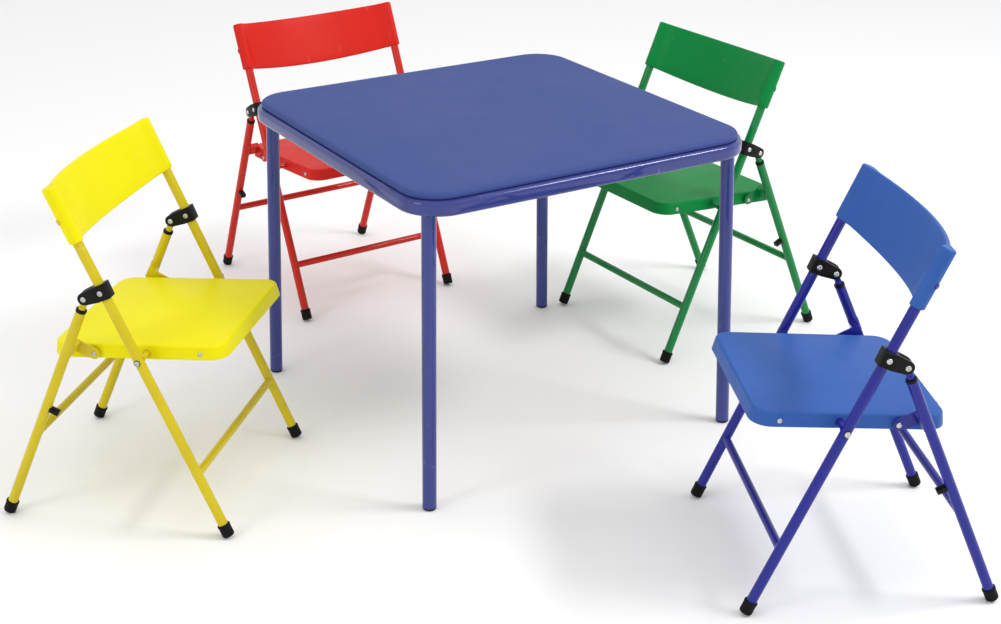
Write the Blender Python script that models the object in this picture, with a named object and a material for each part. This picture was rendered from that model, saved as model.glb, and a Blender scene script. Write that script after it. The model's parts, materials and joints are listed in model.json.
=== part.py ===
"""Children's folding table with four folding chairs, in metres, +Z up, standing on z = 0.

Every piece is its own object. The table's sides lie along X and Y. A chair is built once in its own frame,
x forward from its front feet, y to its left and z up, and each of the four places gets a copy of every piece.
"""

import math

import bmesh
import bpy
from mathutils import Matrix, Vector

# ---------------------------------------------------------------- driving dimensions: table
TABLE_SIDE = 0.610  # over the rim
TABLE_HEIGHT = 0.510
TABLE_CORNER = 0.066  # plan radius of the rim's corners
TOP_INSET = 0.007  # the rim stands this far outside the top
TOP_EDGE = 0.0105  # height of the top's turned-down edge
TOP_WALL = 0.004
TOP_ROUND = 0.006  # radius of the top's upper edge
TOP_HEM = 0.003  # radius of its lower edge
RIM_HEIGHT = 0.024
RIM_WALL = 0.0015
RIM_FLANGE = 0.022  # reach of the flange that carries the top
RIM_ROUND = 0.007
RIM_LIP = 0.0015  # flat stretch of the bottom edge, past its round
LEG_RADIUS = 0.0110
LEG_WALL = 0.0015
LEG_PLUG = 0.012  # end plug at the floor
LEG_SPLAY = math.radians(1.6)  # outward lean of each leg, along X and along Y
LEG_ABOVE = 0.0070  # a leg's tube above its hinge
HINGE_PIN = 0.0030
PIN_HEAD = 0.0010  # how far the pin stands out of each cheek
CHEEK_WALL = 0.0020
CHEEK_REACH = 0.013
GUSSET_CUT = 0.030

# ---------------------------------------------------------------- driving dimensions: chair
TRACK = 0.322  # between the middles of the left and right tubes
POST_LEAN = math.radians(23.27)
POST_LENGTH = 0.5805  # from the floor to the top of the backrest, along the post
TUBE_RADIUS = 0.0075
TUBE_WALL = 0.00125
CROSSBAR_RADIUS = 0.0063
FRONT_BAR_AT = 0.110  # along the post
BACK_HEIGHT = 0.087  # of the backrest, along the post
SLEEVE_WALL = 0.0035
SLEEVE_ROUND = 0.003
PANEL_THICKNESS = 0.0075
PANEL_EASE = 0.0021  # bevel of the panel's edges
PANEL_BOW = 0.034
PANEL_SWELL = 0.005  # how far the lower edge drops at the middle
PANEL_RISE = 0.002  # how far the upper edge rises at the middle
SEAT_PIVOT_AT = 0.301  # along the post
SEAT_TILT = math.radians(4.0)  # the front edge is the higher one
SEAT_FRONT = 0.119  # from the pivot to the front edge
SEAT_REAR = 0.153
SEAT_SIDE_ROOM = 0.0195  # between the seat's skirt and each tube
SEAT_TOP = 0.0120  # from the pivot up to the seat's face
SEAT_HEIGHT = 0.0205
SEAT_WALL = 0.003
SEAT_CORNER = 0.028
SEAT_ROUND = 0.004
SEAT_DRAFT = 0.003  # how far the skirt leans in towards the top
PIVOT_ROD = 0.0030
PIVOT_HEAD = 0.0052
PIVOT_HEAD_HEIGHT = 0.0020
PIVOT_HEAD_EASE = 0.0010
PIVOT_BOSS = 0.0075
BOSS_LENGTH = 0.012
BRACKET_AT = 0.4157  # along the post
BRACKET_HALF_HEIGHT = 0.0115
BRACKET_THICKNESS = 0.0032  # before and behind the post
BRACKET_SIDE_WALL = 0.0024
BRACKET_LOBE = 0.0092
ROD_PIVOT_BACK = 0.0285  # from the post's axis, square to it
ROD_EYE = 0.0072
ROD_EYE_WIDTH = 0.0070
ROD_NECK = 0.0155  # from the pivot to the start of the round rod
ROD_LENGTH = 0.150
REAR_FOOT_BACK = 0.3549  # from the front feet
REAR_BAR_AT = 0.249  # from the rod pivot, along the rear leg
REAR_TUBE_FROM = 0.0250
LUG_CRANK = 0.080  # from the seat pivot to the lug rivet
LUG_PLATE = 0.003
LUG_GAP = 0.0025  # between the seat's skirt and the lug
LUG_TIP = 0.0085
LUG_ROOT = 0.0098  # half the plate's height at the tube
LUG_HEEL = 0.0020  # how far the plate starts behind the tube's axis
JOG_BACK = 0.0035  # the web from plate to tube, behind and before the tube's axis
JOG_FRONT = 0.0080
LUG_BAND = 0.0014
LUG_BAND_LENGTH = 0.022
RIVET_RADIUS = 0.0042
RIVET_HEIGHT = 0.0016
FOOT_LENGTH = 0.0195
FOOT_FLOOR = 0.0045  # rubber under the tube's end, along the tube
FOOT_WALL = 0.0015
FOOT_EASE = 0.0012

# ---------------------------------------------------------------- clearances and counts
FIT = 0.0003  # between pieces that touch
RUN = 0.0006  # radial room round a pin
ROD_ROOM = 0.0012  # radial room of a slide rod in its tube
LEG_CLEAR = 0.0020  # between a table leg and the rim's bottom edge
SWING_ROOM = 0.0009  # between a swinging table leg and the plate above it
GUSSET_ROOM = 0.0010  # between the corner plate and the rim's wall
SINK = 0.0005  # how far a joined shape runs into its neighbour
TUBE_SIDES = 12
SMALL_SIDES = 8
CORNER_STEPS = 4
PANEL_STEPS = 10
ROUND_STEPS = 2

# the middle of each chair's front feet against the table's middle, and the way that it faces
CHAIRS = {
    "yellow": (-TABLE_SIDE / 2 - 0.164, -0.087, math.radians(-43.0)),
    "red": (0.019, TABLE_SIDE / 2 + 0.157, math.radians(-87.0)),
    "green": (TABLE_SIDE / 2 + 0.024, 0.110, math.radians(181.6)),
    "blue": (0.018, -TABLE_SIDE / 2 - 0.305, math.radians(154.6)),
}
PLASTIC = {
    "yellow": (0.88, 0.79, 0.01),
    "red": (0.62, 0.03, 0.02),
    "green": (0.0, 0.26, 0.06),
    "blue": (0.05, 0.14, 0.46),
}
ENAMEL = {
    "yellow": (0.69, 0.57, 0.03),
    "red": (0.47, 0.03, 0.02),
    "green": (0.0, 0.2, 0.05),
    "blue": (0.045, 0.05, 0.35),
}
TABLE_BLUE = (0.075, 0.105, 0.33)
BLACK = (0.01, 0.01, 0.01)
STEEL = (0.55, 0.55, 0.55)


# ---------------------------------------------------------------- mesh helpers
def finish(bm, name):
    """The bmesh as a mesh with its faces pointing out, smooth where it is round."""
    bmesh.ops.remove_doubles(bm, verts=bm.verts, dist=1e-6)
    bmesh.ops.recalc_face_normals(bm, faces=bm.faces)
    mesh = bpy.data.meshes.new(name)
    bm.to_mesh(mesh)
    bm.free()
    mesh.shade_smooth()
    mesh.set_sharp_from_angle(angle=math.radians(35))
    return mesh


def loft(rings, name, closed=False):
    """A skin through rings of equally many points: a closed loop of rings, or one with a cap at each end."""
    bm = bmesh.new()
    loops = [[bm.verts.new(point) for point in ring] for ring in rings]
    pairs = list(zip(loops, loops[1:]))
    if closed:
        pairs.append((loops[-1], loops[0]))
    for first, second in pairs:
        for i in range(len(first)):
            j = (i + 1) % len(first)
            bm.faces.new((first[i], first[j], second[j], second[i]))
    if not closed:
        bm.faces.new(loops[0])
        bm.faces.new(loops[-1])
    return finish(bm, name)


def frame_along(direction):
    """Two directions square to this one and to each other."""
    along = Vector(direction).normalized()
    aside = along.cross(Vector((0, 1, 0)))
    if aside.length < 0.1:
        aside = along.cross(Vector((0, 0, 1)))
    aside.normalize()
    return along, aside, along.cross(aside)


def turned(start, direction, profile, sides, name, closed=False):
    """A profile of (radius, distance) turned about the line from start along direction."""
    along, aside, across = frame_along(direction)
    rings = []
    for radius, distance in profile:
        middle = Vector(start) + along * distance
        turn = [2 * math.pi * (i + 0.5) / sides for i in range(sides)]
        rings.append([middle + radius * (math.cos(a) * aside + math.sin(a) * across) for a in turn])
    return loft(rings, name, closed)


def rod(start, end, radius, sides, name="rod"):
    start, end = Vector(start), Vector(end)
    return turned(start, end - start, [(radius, 0), (radius, (end - start).length)], sides, name)


def block(low, high, name="block"):
    corners = [(low[0], low[1]), (high[0], low[1]), (high[0], high[1]), (low[0], high[1])]
    return loft([[Vector((x, y, z)) for x, y in corners] for z in (low[2], high[2])], name)


def slab(outline, y_from, y_to, name="slab"):
    """An outline of (x, z) points given a thickness along Y."""
    return loft([[Vector((x, y, z)) for x, z in outline] for y in (y_from, y_to)], name)


def rounded_ring(low, high, radius, z):
    """A rounded rectangle in plan at height z."""
    centres = (
        (high[0] - radius, high[1] - radius),
        (low[0] + radius, high[1] - radius),
        (low[0] + radius, low[1] + radius),
        (high[0] - radius, low[1] + radius),
    )
    ring = []
    for corner, (cx, cy) in enumerate(centres):
        for step in range(CORNER_STEPS + 1):
            a = math.pi / 2 * (corner + step / CORNER_STEPS)
            ring.append(Vector((cx + radius * math.cos(a), cy + radius * math.sin(a), z)))
    return ring


def combine(mesh, steps, name):
    """The mesh with each (operation, mesh) applied in turn."""
    base = bpy.data.objects.new(name, mesh)
    bpy.context.scene.collection.objects.link(base)
    tools = []
    for operation, tool_mesh in steps:
        tool = bpy.data.objects.new("tool", tool_mesh)
        tool.hide_render = True
        tool.display_type = "WIRE"
        bpy.context.scene.collection.objects.link(tool)
        modifier = base.modifiers.new(operation, "BOOLEAN")
        modifier.operation = operation
        modifier.solver = "EXACT"
        modifier.object = tool
        tools.append(tool)
    bpy.context.view_layer.update()
    evaluated = base.evaluated_get(bpy.context.evaluated_depsgraph_get())
    bm = bmesh.new()
    bm.from_mesh(bpy.data.meshes.new_from_object(evaluated))
    for obj in [base, *tools]:
        bpy.data.objects.remove(obj)
    return finish(bm, name)


def moved(mesh, matrix):
    copy = mesh.copy()
    copy.transform(matrix)
    if matrix.determinant() < 0:
        copy.flip_normals()
    return copy


# ---------------------------------------------------------------- scene helpers
def material(name, color, roughness, metallic=0.0):
    made = bpy.data.materials.new(name)
    made.use_nodes = True
    shader = made.node_tree.nodes["Principled BSDF"]
    shader.inputs["Base Color"].default_value = (*color, 1)
    shader.inputs["Roughness"].default_value = roughness
    shader.inputs["Metallic"].default_value = metallic
    return made


def empty(name, parent=None, location=(0, 0, 0), turn=0.0):
    made = bpy.data.objects.new(name, None)
    made.empty_display_size = 0.03
    made.parent = parent
    made.location = location
    made.rotation_euler = (0, 0, turn)
    bpy.context.scene.collection.objects.link(made)
    return made


def piece(name, mesh, parent, origin, finish_material):
    """An object whose mesh was drawn in its parent's frame, with its own origin moved to a useful point."""
    made = bpy.data.objects.new(name, moved(mesh, Matrix.Translation(-Vector(origin))))
    made.parent = parent
    made.location = origin
    made.data.materials.clear()
    made.data.materials.append(finish_material)
    bpy.context.scene.collection.objects.link(made)
    return made


# ---------------------------------------------------------------- table
FLANGE_TOP = TABLE_HEIGHT - TOP_EDGE - FIT
RIM_BOTTOM = FLANGE_TOP - RIM_HEIGHT
CORNER_CENTRE = TABLE_SIDE / 2 - TABLE_CORNER
LEG_FROM_CENTRE = TABLE_CORNER - RIM_ROUND - RIM_LIP - LEG_CLEAR - LEG_RADIUS
LEG_PLACE = CORNER_CENTRE + LEG_FROM_CENTRE * math.sqrt(0.5)
HINGE_HEIGHT = FLANGE_TOP - RIM_WALL - SWING_ROOM - math.hypot(LEG_ABOVE, LEG_RADIUS)


def square_ring(half, radius, z):
    return rounded_ring((-half, -half), (half, half), radius, z)


def arc(inset, height, radius, start, end, steps=ROUND_STEPS):
    """A round of a section as points of (inset, height), between two angles in degrees: 0 is out, 90 up."""
    turn = [math.radians(start + (end - start) * i / steps) for i in range(steps + 1)]
    return [(inset - radius * math.cos(a), height + radius * math.sin(a)) for a in turn]


def table_top():
    """The moulded top: a flat panel with a rounded, turned-down edge, hollow underneath."""
    half = TABLE_SIDE / 2 - TOP_INSET
    corner = TABLE_CORNER - TOP_INSET
    low = TABLE_HEIGHT - TOP_EDGE
    edge = [(TOP_WALL, TABLE_HEIGHT - TOP_WALL), (TOP_WALL, low)]
    edge += arc(TOP_HEM, low + TOP_HEM, TOP_HEM, -90, 0)
    edge += arc(TOP_ROUND, TABLE_HEIGHT - TOP_ROUND, TOP_ROUND, 0, 90)
    return loft([square_ring(half - inset, corner - inset, z) for inset, z in edge], "table_top")


def rim_section():
    """The rim's section as (inset from the outside, height), a bent sheet that is open on the inner side."""
    high = FLANGE_TOP - RIM_ROUND
    low = RIM_BOTTOM + RIM_ROUND
    inside = RIM_ROUND - RIM_WALL
    section = [(RIM_FLANGE, FLANGE_TOP)]
    section += arc(RIM_ROUND, high, RIM_ROUND, 90, 0)
    section += arc(RIM_ROUND, low, RIM_ROUND, 0, -90)
    section += [(RIM_ROUND + RIM_LIP, RIM_BOTTOM), (RIM_ROUND + RIM_LIP, RIM_BOTTOM + RIM_WALL)]
    section += arc(RIM_ROUND, low, inside, -90, 0, 1)
    section += arc(RIM_ROUND, high, inside, 0, 90, 1)
    section.append((RIM_FLANGE, FLANGE_TOP - RIM_WALL))
    return section


def leg_hinge():
    """A leg's hinge point in the quarter where X and Y are positive."""
    return Vector((LEG_PLACE, LEG_PLACE, HINGE_HEIGHT))


def leg_down():
    """The way that same leg runs from its hinge to the floor."""
    return Vector((math.tan(LEG_SPLAY), math.tan(LEG_SPLAY), -1)).normalized()


def leg_axis():
    """Its hinge's axis: the leg then folds to lie along -X."""
    return leg_down().cross(Vector((-1, 0, 0))).normalized()


def corner_bracket():
    """One corner plate with the two cheeks of a leg's hinge, hanging from the rim's flange."""
    centre = CORNER_CENTRE
    reach = TABLE_CORNER - RIM_WALL - GUSSET_ROOM
    plan = [(centre + reach, centre - GUSSET_CUT)]
    for step in range(CORNER_STEPS + 1):
        a = math.pi / 2 * step / CORNER_STEPS
        plan.append((centre + reach * math.cos(a), centre + reach * math.sin(a)))
    plan.append((centre - GUSSET_CUT, centre + reach))
    faces = (FLANGE_TOP - RIM_WALL, FLANGE_TOP)
    plate = loft([[Vector((x, y, z)) for x, y in plan] for z in faces], "plate")
    hinge, axis = leg_hinge(), leg_axis()
    steps = []
    for side in (-1, 1):
        near = side * (LEG_RADIUS + RUN)
        far = side * (LEG_RADIUS + RUN + CHEEK_WALL)
        low = Vector((hinge.x - CHEEK_REACH, hinge.y + min(near, far), hinge.z - CHEEK_REACH / 2))
        high = Vector((hinge.x + CHEEK_REACH / 2, hinge.y + max(near, far), FLANGE_TOP - RIM_WALL / 2))
        steps.append(("UNION", block(low, high)))
    reach = LEG_RADIUS + RUN + 2 * CHEEK_WALL
    hole = rod(hinge - axis * reach, hinge + axis * reach, HINGE_PIN + RUN, SMALL_SIDES)
    steps.append(("DIFFERENCE", hole))
    return combine(plate, steps, "corner_bracket")


def quarter_turns(mesh):
    return [moved(mesh, Matrix.Rotation(math.pi / 2 * k, 4, "Z")) for k in range(4)]


def table_rim():
    """The bent steel rim with a hinge bracket welded into each corner."""
    half = TABLE_SIDE / 2
    rings = [square_ring(half - inset, TABLE_CORNER - inset, z) for inset, z in rim_section()]
    rim = loft(rings, "rim", closed=True)
    return combine(rim, [("UNION", mesh) for mesh in quarter_turns(corner_bracket())], "table_rim")


def table_leg():
    """A tube leg with its end plug and hinge pin, in the quarter where X and Y are positive."""
    hinge, down, axis = leg_hinge(), leg_down(), leg_axis()
    start = hinge - down * LEG_ABOVE
    length = LEG_ABOVE + hinge.z / -down.z
    bore = LEG_RADIUS - LEG_WALL
    outside = [(LEG_RADIUS, 0), (LEG_RADIUS, length + LEG_RADIUS)]  # past the floor, where it is cut level
    tube = turned(start, down, outside, TUBE_SIDES, "leg")
    hollow = turned(start, down, [(bore, -LEG_RADIUS), (bore, length - LEG_PLUG)], TUBE_SIDES, "bore")
    reach = LEG_RADIUS + RUN + CHEEK_WALL + PIN_HEAD
    pin = rod(hinge - axis * reach, hinge + axis * reach, HINGE_PIN, SMALL_SIDES)
    floor = block((-TABLE_SIDE, -TABLE_SIDE, -TABLE_HEIGHT), (TABLE_SIDE, TABLE_SIDE, 0))
    steps = [("DIFFERENCE", hollow), ("UNION", pin), ("DIFFERENCE", floor)]
    return combine(tube, steps, "table_leg")


def build_table(root):
    top_paint = material("table_top_vinyl", TABLE_BLUE, 0.5)
    frame_paint = material("table_enamel", TABLE_BLUE, 0.25)
    piece("table_top", table_top(), root, (0, 0, TABLE_HEIGHT), top_paint)
    piece("table_rim", table_rim(), root, (0, 0, TABLE_HEIGHT), frame_paint)
    names = ("back_right", "back_left", "front_left", "front_right")
    for turn, (name, mesh) in enumerate(zip(names, quarter_turns(table_leg()))):
        hinge = Matrix.Rotation(math.pi / 2 * turn, 3, "Z") @ leg_hinge()
        piece("table_leg_" + name, mesh, root, hinge, frame_paint)


# ---------------------------------------------------------------- chair geometry
UP_POST = Vector((-math.sin(POST_LEAN), 0, math.cos(POST_LEAN)))
BEHIND_POST = Vector((-math.cos(POST_LEAN), 0, -math.sin(POST_LEAN)))
ASIDE = Vector((0, 1, 0))
HALF_TRACK = TRACK / 2
BORE = TUBE_RADIUS - TUBE_WALL
ROD_RADIUS = BORE - ROD_ROOM
BACKREST_FROM = POST_LENGTH - BACK_HEIGHT
SEAT_HALF_WIDTH = HALF_TRACK - TUBE_RADIUS - SEAT_SIDE_ROOM
BRACKET_FRONT = TUBE_RADIUS + FIT + BRACKET_THICKNESS
BRACKET_HALF_WIDTH = TUBE_RADIUS + FIT + BRACKET_SIDE_WALL
SEAT_PIVOT = UP_POST * SEAT_PIVOT_AT
ROD_PIVOT = UP_POST * BRACKET_AT + BEHIND_POST * ROD_PIVOT_BACK
REAR_FOOT = Vector((-REAR_FOOT_BACK, 0, 0))
UP_LEG = (ROD_PIVOT - REAR_FOOT).normalized()
LUG_RIVET = SEAT_PIVOT - LUG_CRANK * Vector((math.cos(SEAT_TILT), 0, math.sin(SEAT_TILT)))
SIDES = {"left": 1, "right": -1}


def at_side(point, side):
    """A point of the side view, moved to the middle of the left or the right tube."""
    return point + ASIDE * (HALF_TRACK * side)


def welded_pair(bottom, direction, length, bar_at, steps, name):
    """Two parallel tubes with a crossbar between them, bored right through after the other steps."""
    top = bottom + direction * length
    bar = bottom + direction * bar_at
    tubes = [rod(at_side(bottom, s), at_side(top, s), TUBE_RADIUS, TUBE_SIDES) for s in (1, -1)]
    crossbar = rod(at_side(bar, 1), at_side(bar, -1), CROSSBAR_RADIUS, SMALL_SIDES)
    joined = [("UNION", crossbar), ("UNION", tubes[1])]
    past = direction * BORE  # the bores run out of both ends
    bores = []
    for side in (1, -1):
        bore = rod(at_side(bottom - past, side), at_side(top + past, side), BORE, TUBE_SIDES)
        bores.append(("DIFFERENCE", bore))
    return combine(tubes[0], joined + steps + bores, name)


def front_frame():
    """Two legs that run on as the back posts, with their crossbar and the holes of the seat's pivot rod."""
    bottom = UP_POST * (FOOT_FLOOR + sole_lift(UP_POST))
    length = POST_LENGTH - SLEEVE_WALL - FIT - bottom.length
    hole = rod(SEAT_PIVOT - ASIDE * TRACK, SEAT_PIVOT + ASIDE * TRACK, PIVOT_ROD + RUN, SMALL_SIDES)
    bar_at = FRONT_BAR_AT - bottom.length
    return welded_pair(bottom, UP_POST, length, bar_at, [("DIFFERENCE", hole)], "front_frame")


def sole_lift(along):
    """How far up a slanted tube its end sits so that all of it is above the floor by its foot's sole."""
    return (TUBE_RADIUS + FOOT_WALL) * math.sqrt(1 - along.z**2) / along.z


def lug(side):
    """The steel lug of one rear leg: a band round the tube and a plate that reaches forward to the seat."""
    foot = (LUG_RIVET - ROD_PIVOT).dot(UP_LEG)
    on_tube = ROD_PIVOT + UP_LEG * foot
    forward = (LUG_RIVET - on_tube).normalized()
    outline = [
        on_tube + UP_LEG * LUG_ROOT - forward * LUG_HEEL,
        on_tube - UP_LEG * LUG_ROOT - forward * LUG_HEEL,
    ]
    for step in range(CORNER_STEPS + 1):
        a = math.pi * (step / CORNER_STEPS - 0.5)
        outline.append(LUG_RIVET + LUG_TIP * (forward * math.cos(a) + UP_LEG * math.sin(a)))
    near = side * (SEAT_HALF_WIDTH + LUG_GAP)
    far = near + side * LUG_PLATE
    plate = slab([(p.x, p.z) for p in outline], near, far)
    corners = ((1, -JOG_BACK), (-1, -JOG_BACK), (-1, JOG_FRONT), (1, JOG_FRONT))
    root = [on_tube + UP_LEG * u * LUG_TIP + forward * f for u, f in corners]
    jog = slab([(p.x, p.z) for p in root], near + side * 2 * SINK, side * (HALF_TRACK - BORE + RUN))
    middle = at_side(on_tube, side)
    half = UP_LEG * LUG_BAND_LENGTH / 2
    band = rod(middle - half, middle + half, TUBE_RADIUS + LUG_BAND, TUBE_SIDES)
    head_from = LUG_RIVET + ASIDE * (far - side * SINK)
    head_to = LUG_RIVET + ASIDE * (far + side * RIVET_HEIGHT)
    return [("UNION", mesh) for mesh in (band, jog, plate, rod(head_from, head_to, RIVET_RADIUS, SMALL_SIDES))]


def rear_frame():
    """The rear legs with their crossbar and the lugs that carry the seat's rear."""
    bottom = REAR_FOOT + UP_LEG * (FOOT_FLOOR + sole_lift(UP_LEG))
    length = (ROD_PIVOT - bottom).length - REAR_TUBE_FROM
    bar_at = (ROD_PIVOT - bottom).length - REAR_BAR_AT
    return welded_pair(bottom, UP_LEG, length, bar_at, lug(1) + lug(-1), "rear_frame")


def slide_rod(side):
    """The rod that slides in a rear leg, with the flat eye of its pivot."""
    pivot = at_side(ROD_PIVOT, side)
    half = ASIDE * ROD_EYE_WIDTH / 2
    eye = rod(pivot - half, pivot + half, ROD_EYE, TUBE_SIDES)
    forward = UP_LEG.cross(ASIDE) * (ROD_RADIUS - RUN)
    corners = [ROD_PIVOT + forward, ROD_PIVOT - forward]
    corners += [c - UP_LEG * (ROD_NECK + ROD_RADIUS) for c in reversed(corners)]
    neck = slab([(c.x, c.z) for c in corners], pivot.y - half.y, pivot.y + half.y)
    shaft = rod(pivot - UP_LEG * ROD_NECK, pivot - UP_LEG * ROD_LENGTH, ROD_RADIUS, TUBE_SIDES)
    hole = rod(pivot - half * 2, pivot + half * 2, PIVOT_ROD + RUN, SMALL_SIDES)
    return combine(eye, [("UNION", neck), ("UNION", shaft), ("DIFFERENCE", hole)], "slide_rod")


def bracket(side):
    """The moulded saddle on a post, forked behind for the slide rod's eye, with its pivot pin."""
    post = UP_POST * BRACKET_AT
    up, back = UP_POST, BEHIND_POST
    outline = [post + up * h * BRACKET_HALF_HEIGHT - back * BRACKET_FRONT for h in (-1, 1)]
    outline.append(post + up * BRACKET_HALF_HEIGHT + back * BRACKET_FRONT)
    for step in range(2 * CORNER_STEPS + 1):
        a = math.pi * (0.5 - step / (2 * CORNER_STEPS))
        outline.append(ROD_PIVOT + BRACKET_LOBE * (back * math.cos(a) + up * math.sin(a)))
    outline.append(post - up * BRACKET_HALF_HEIGHT + back * BRACKET_FRONT)
    middle = HALF_TRACK * side
    body = slab([(p.x, p.z) for p in outline], middle - BRACKET_HALF_WIDTH, middle + BRACKET_HALF_WIDTH)
    past = up * 2 * BRACKET_HALF_HEIGHT
    floor = BRACKET_FRONT + SINK
    bore = rod(at_side(post - past, side), at_side(post + past, side), TUBE_RADIUS + FIT, TUBE_SIDES)
    slot_half = ROD_EYE_WIDTH / 2 + RUN
    mouth = ROD_PIVOT_BACK + 2 * BRACKET_LOBE
    fork = [post + past * u + back * b for u, b in ((-1, floor), (1, floor), (1, mouth), (-1, mouth))]
    slot = slab([(p.x, p.z) for p in fork], middle - slot_half, middle + slot_half)
    half = ASIDE * (BRACKET_HALF_WIDTH - 2 * SINK)
    pivot = at_side(ROD_PIVOT, side)
    pin = rod(pivot - half, pivot + half, PIVOT_ROD, SMALL_SIDES)
    return combine(body, [("DIFFERENCE", bore), ("DIFFERENCE", slot), ("UNION", pin)], "bracket")


def seat():
    """The moulded seat: a tray with a skirt, hollow underneath, with a boss each side for the pivot rod."""
    low = (-SEAT_REAR, -SEAT_HALF_WIDTH)
    high = (SEAT_FRONT, SEAT_HALF_WIDTH)

    def ring(inset, z):
        near = (low[0] + inset, low[1] + inset)
        far = (high[0] - inset, high[1] - inset)
        return rounded_ring(near, far, SEAT_CORNER - inset, z)

    bottom = SEAT_TOP - SEAT_HEIGHT
    shoulder = SEAT_TOP - SEAT_ROUND
    wall = SEAT_WALL
    inside = [
        (SEAT_DRAFT + SEAT_ROUND + wall, SEAT_TOP - wall),
        (SEAT_DRAFT + wall, shoulder - wall),
        (wall, bottom),
    ]
    outside = [(0, bottom)] + arc(SEAT_DRAFT + SEAT_ROUND, shoulder, SEAT_ROUND, 0, 90)
    tray = loft([ring(inset, z) for inset, z in inside + outside], "tray")
    steps = []
    for side in (1, -1):
        inner = ASIDE * side * (SEAT_HALF_WIDTH - wall - BOSS_LENGTH)
        outer = ASIDE * side * (SEAT_HALF_WIDTH - wall)
        steps.append(("UNION", rod(inner, outer, PIVOT_BOSS, SMALL_SIDES)))
    hole = rod(-ASIDE * TRACK, ASIDE * TRACK, PIVOT_ROD + RUN / 2, SMALL_SIDES)
    made = combine(tray, steps + [("DIFFERENCE", hole)], "seat")
    return moved(made, Matrix.Translation(SEAT_PIVOT) @ Matrix.Rotation(-SEAT_TILT, 4, "Y"))


def seat_rod():
    """The steel rod that the seat turns on, with a head outside each post."""
    face = HALF_TRACK + TUBE_RADIUS + FIT
    end = face + PIVOT_HEAD_HEIGHT
    head = [
        (PIVOT_ROD, face),
        (PIVOT_HEAD, face),
        (PIVOT_HEAD, end - PIVOT_HEAD_EASE),
        (PIVOT_HEAD - PIVOT_HEAD_EASE, end),
    ]
    profile = [(radius, -distance) for radius, distance in reversed(head)] + head
    return turned(SEAT_PIVOT, ASIDE, profile, SMALL_SIDES, "seat_rod")


def backrest():
    """The moulded back: a panel bowed behind the posts, with a closed-topped sleeve on each post."""
    section = ((-1, 0), (-1, 1), (1, 1), (1, 0))
    ease = PANEL_EASE
    rings = []
    for step in range(PANEL_STEPS + 1):
        share = 2 * step / PANEL_STEPS - 1
        y = HALF_TRACK * share
        hollow = 1 - share**2
        low = BACKREST_FROM + SINK - PANEL_SWELL * hollow
        high = POST_LENGTH - SINK + PANEL_RISE * hollow
        ring = []
        for face, end in section:
            at = high if end else low
            inwards = -1 if end else 1
            first = (face * PANEL_THICKNESS / 2, at + inwards * ease)
            second = (face * (PANEL_THICKNESS / 2 - ease), at)
            order = (first, second) if (face < 0) == bool(end) else (second, first)
            for back, up in order:
                ring.append(UP_POST * up + BEHIND_POST * (back + PANEL_BOW * hollow) + ASIDE * y)
        rings.append(ring)
    panel = loft(rings, "panel")
    outer = TUBE_RADIUS + FIT + SLEEVE_WALL
    eased = outer - SLEEVE_ROUND
    length = POST_LENGTH - BACKREST_FROM
    profile = [(eased, 0), (outer, SLEEVE_ROUND), (outer, length - SLEEVE_ROUND), (eased, length)]
    steps = []
    for side in (1, -1):
        bottom = at_side(UP_POST * BACKREST_FROM, side)
        steps.append(("UNION", turned(bottom, UP_POST, profile, TUBE_SIDES, "sleeve")))
    for side in (1, -1):
        below = at_side(UP_POST * (BACKREST_FROM - SLEEVE_WALL), side)
        above = at_side(UP_POST * (POST_LENGTH - SLEEVE_WALL), side)
        steps.append(("DIFFERENCE", rod(below, above, TUBE_RADIUS + FIT, TUBE_SIDES)))
    return combine(panel, steps, "backrest")


def foot(floor_point, along, side):
    """A rubber cup on a tube's end, its sole cut level with the floor."""
    start = at_side(floor_point, side)
    lift = sole_lift(along)
    outer = TUBE_RADIUS + FIT + FOOT_WALL
    top = FOOT_LENGTH + lift
    profile = [
        (TUBE_RADIUS + FIT, FOOT_FLOOR + lift - FIT),
        (TUBE_RADIUS + FIT, top),
        (outer - FOOT_EASE, top),
        (outer, top - FOOT_EASE),
        (outer, -2 * lift),
    ]
    cup = turned(start, along, profile, TUBE_SIDES, "foot")
    floor = block((-POST_LENGTH, -TRACK, -POST_LENGTH), (POST_LENGTH, TRACK, 0))
    return combine(cup, [("DIFFERENCE", floor)], "foot")


def build_chairs(root):
    """Each chair's pieces, with every moving piece's origin on its joint."""
    rod_joint = Vector(ROD_PIVOT)
    shared = {
        "front_frame": (front_frame(), rod_joint, "enamel"),
        "backrest": (backrest(), rod_joint, "plastic"),
        "rear_frame": (rear_frame(), REAR_FOOT, "enamel"),
        "seat": (seat(), SEAT_PIVOT, "plastic"),
        "seat_rod": (seat_rod(), SEAT_PIVOT, "steel"),
    }
    for name, side in SIDES.items():
        shared["bracket_" + name] = (bracket(side), rod_joint, "black")
        shared["slide_rod_" + name] = (slide_rod(side), rod_joint, "enamel")
        shared["front_foot_" + name] = (foot(Vector((0, 0, 0)), UP_POST, side), rod_joint, "rubber")
        shared["rear_foot_" + name] = (foot(REAR_FOOT, UP_LEG, side), REAR_FOOT, "rubber")
    common = {
        "black": material("bracket_black", BLACK, 0.35),
        "rubber": material("foot_rubber", BLACK, 0.7),
        "steel": material("rivet_steel", STEEL, 0.3, 1.0),
    }
    for chair, (x, y, facing) in CHAIRS.items():
        frame = empty(chair + "_chair", root, (x, y, 0), facing)
        own = dict(common)
        own["plastic"] = material(chair + "_plastic", PLASTIC[chair], 0.45)
        own["enamel"] = material(chair + "_enamel", ENAMEL[chair], 0.25)
        for name, (mesh, origin, slot) in shared.items():
            piece(chair + "_" + name, mesh, frame, origin, own[slot])


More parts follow.
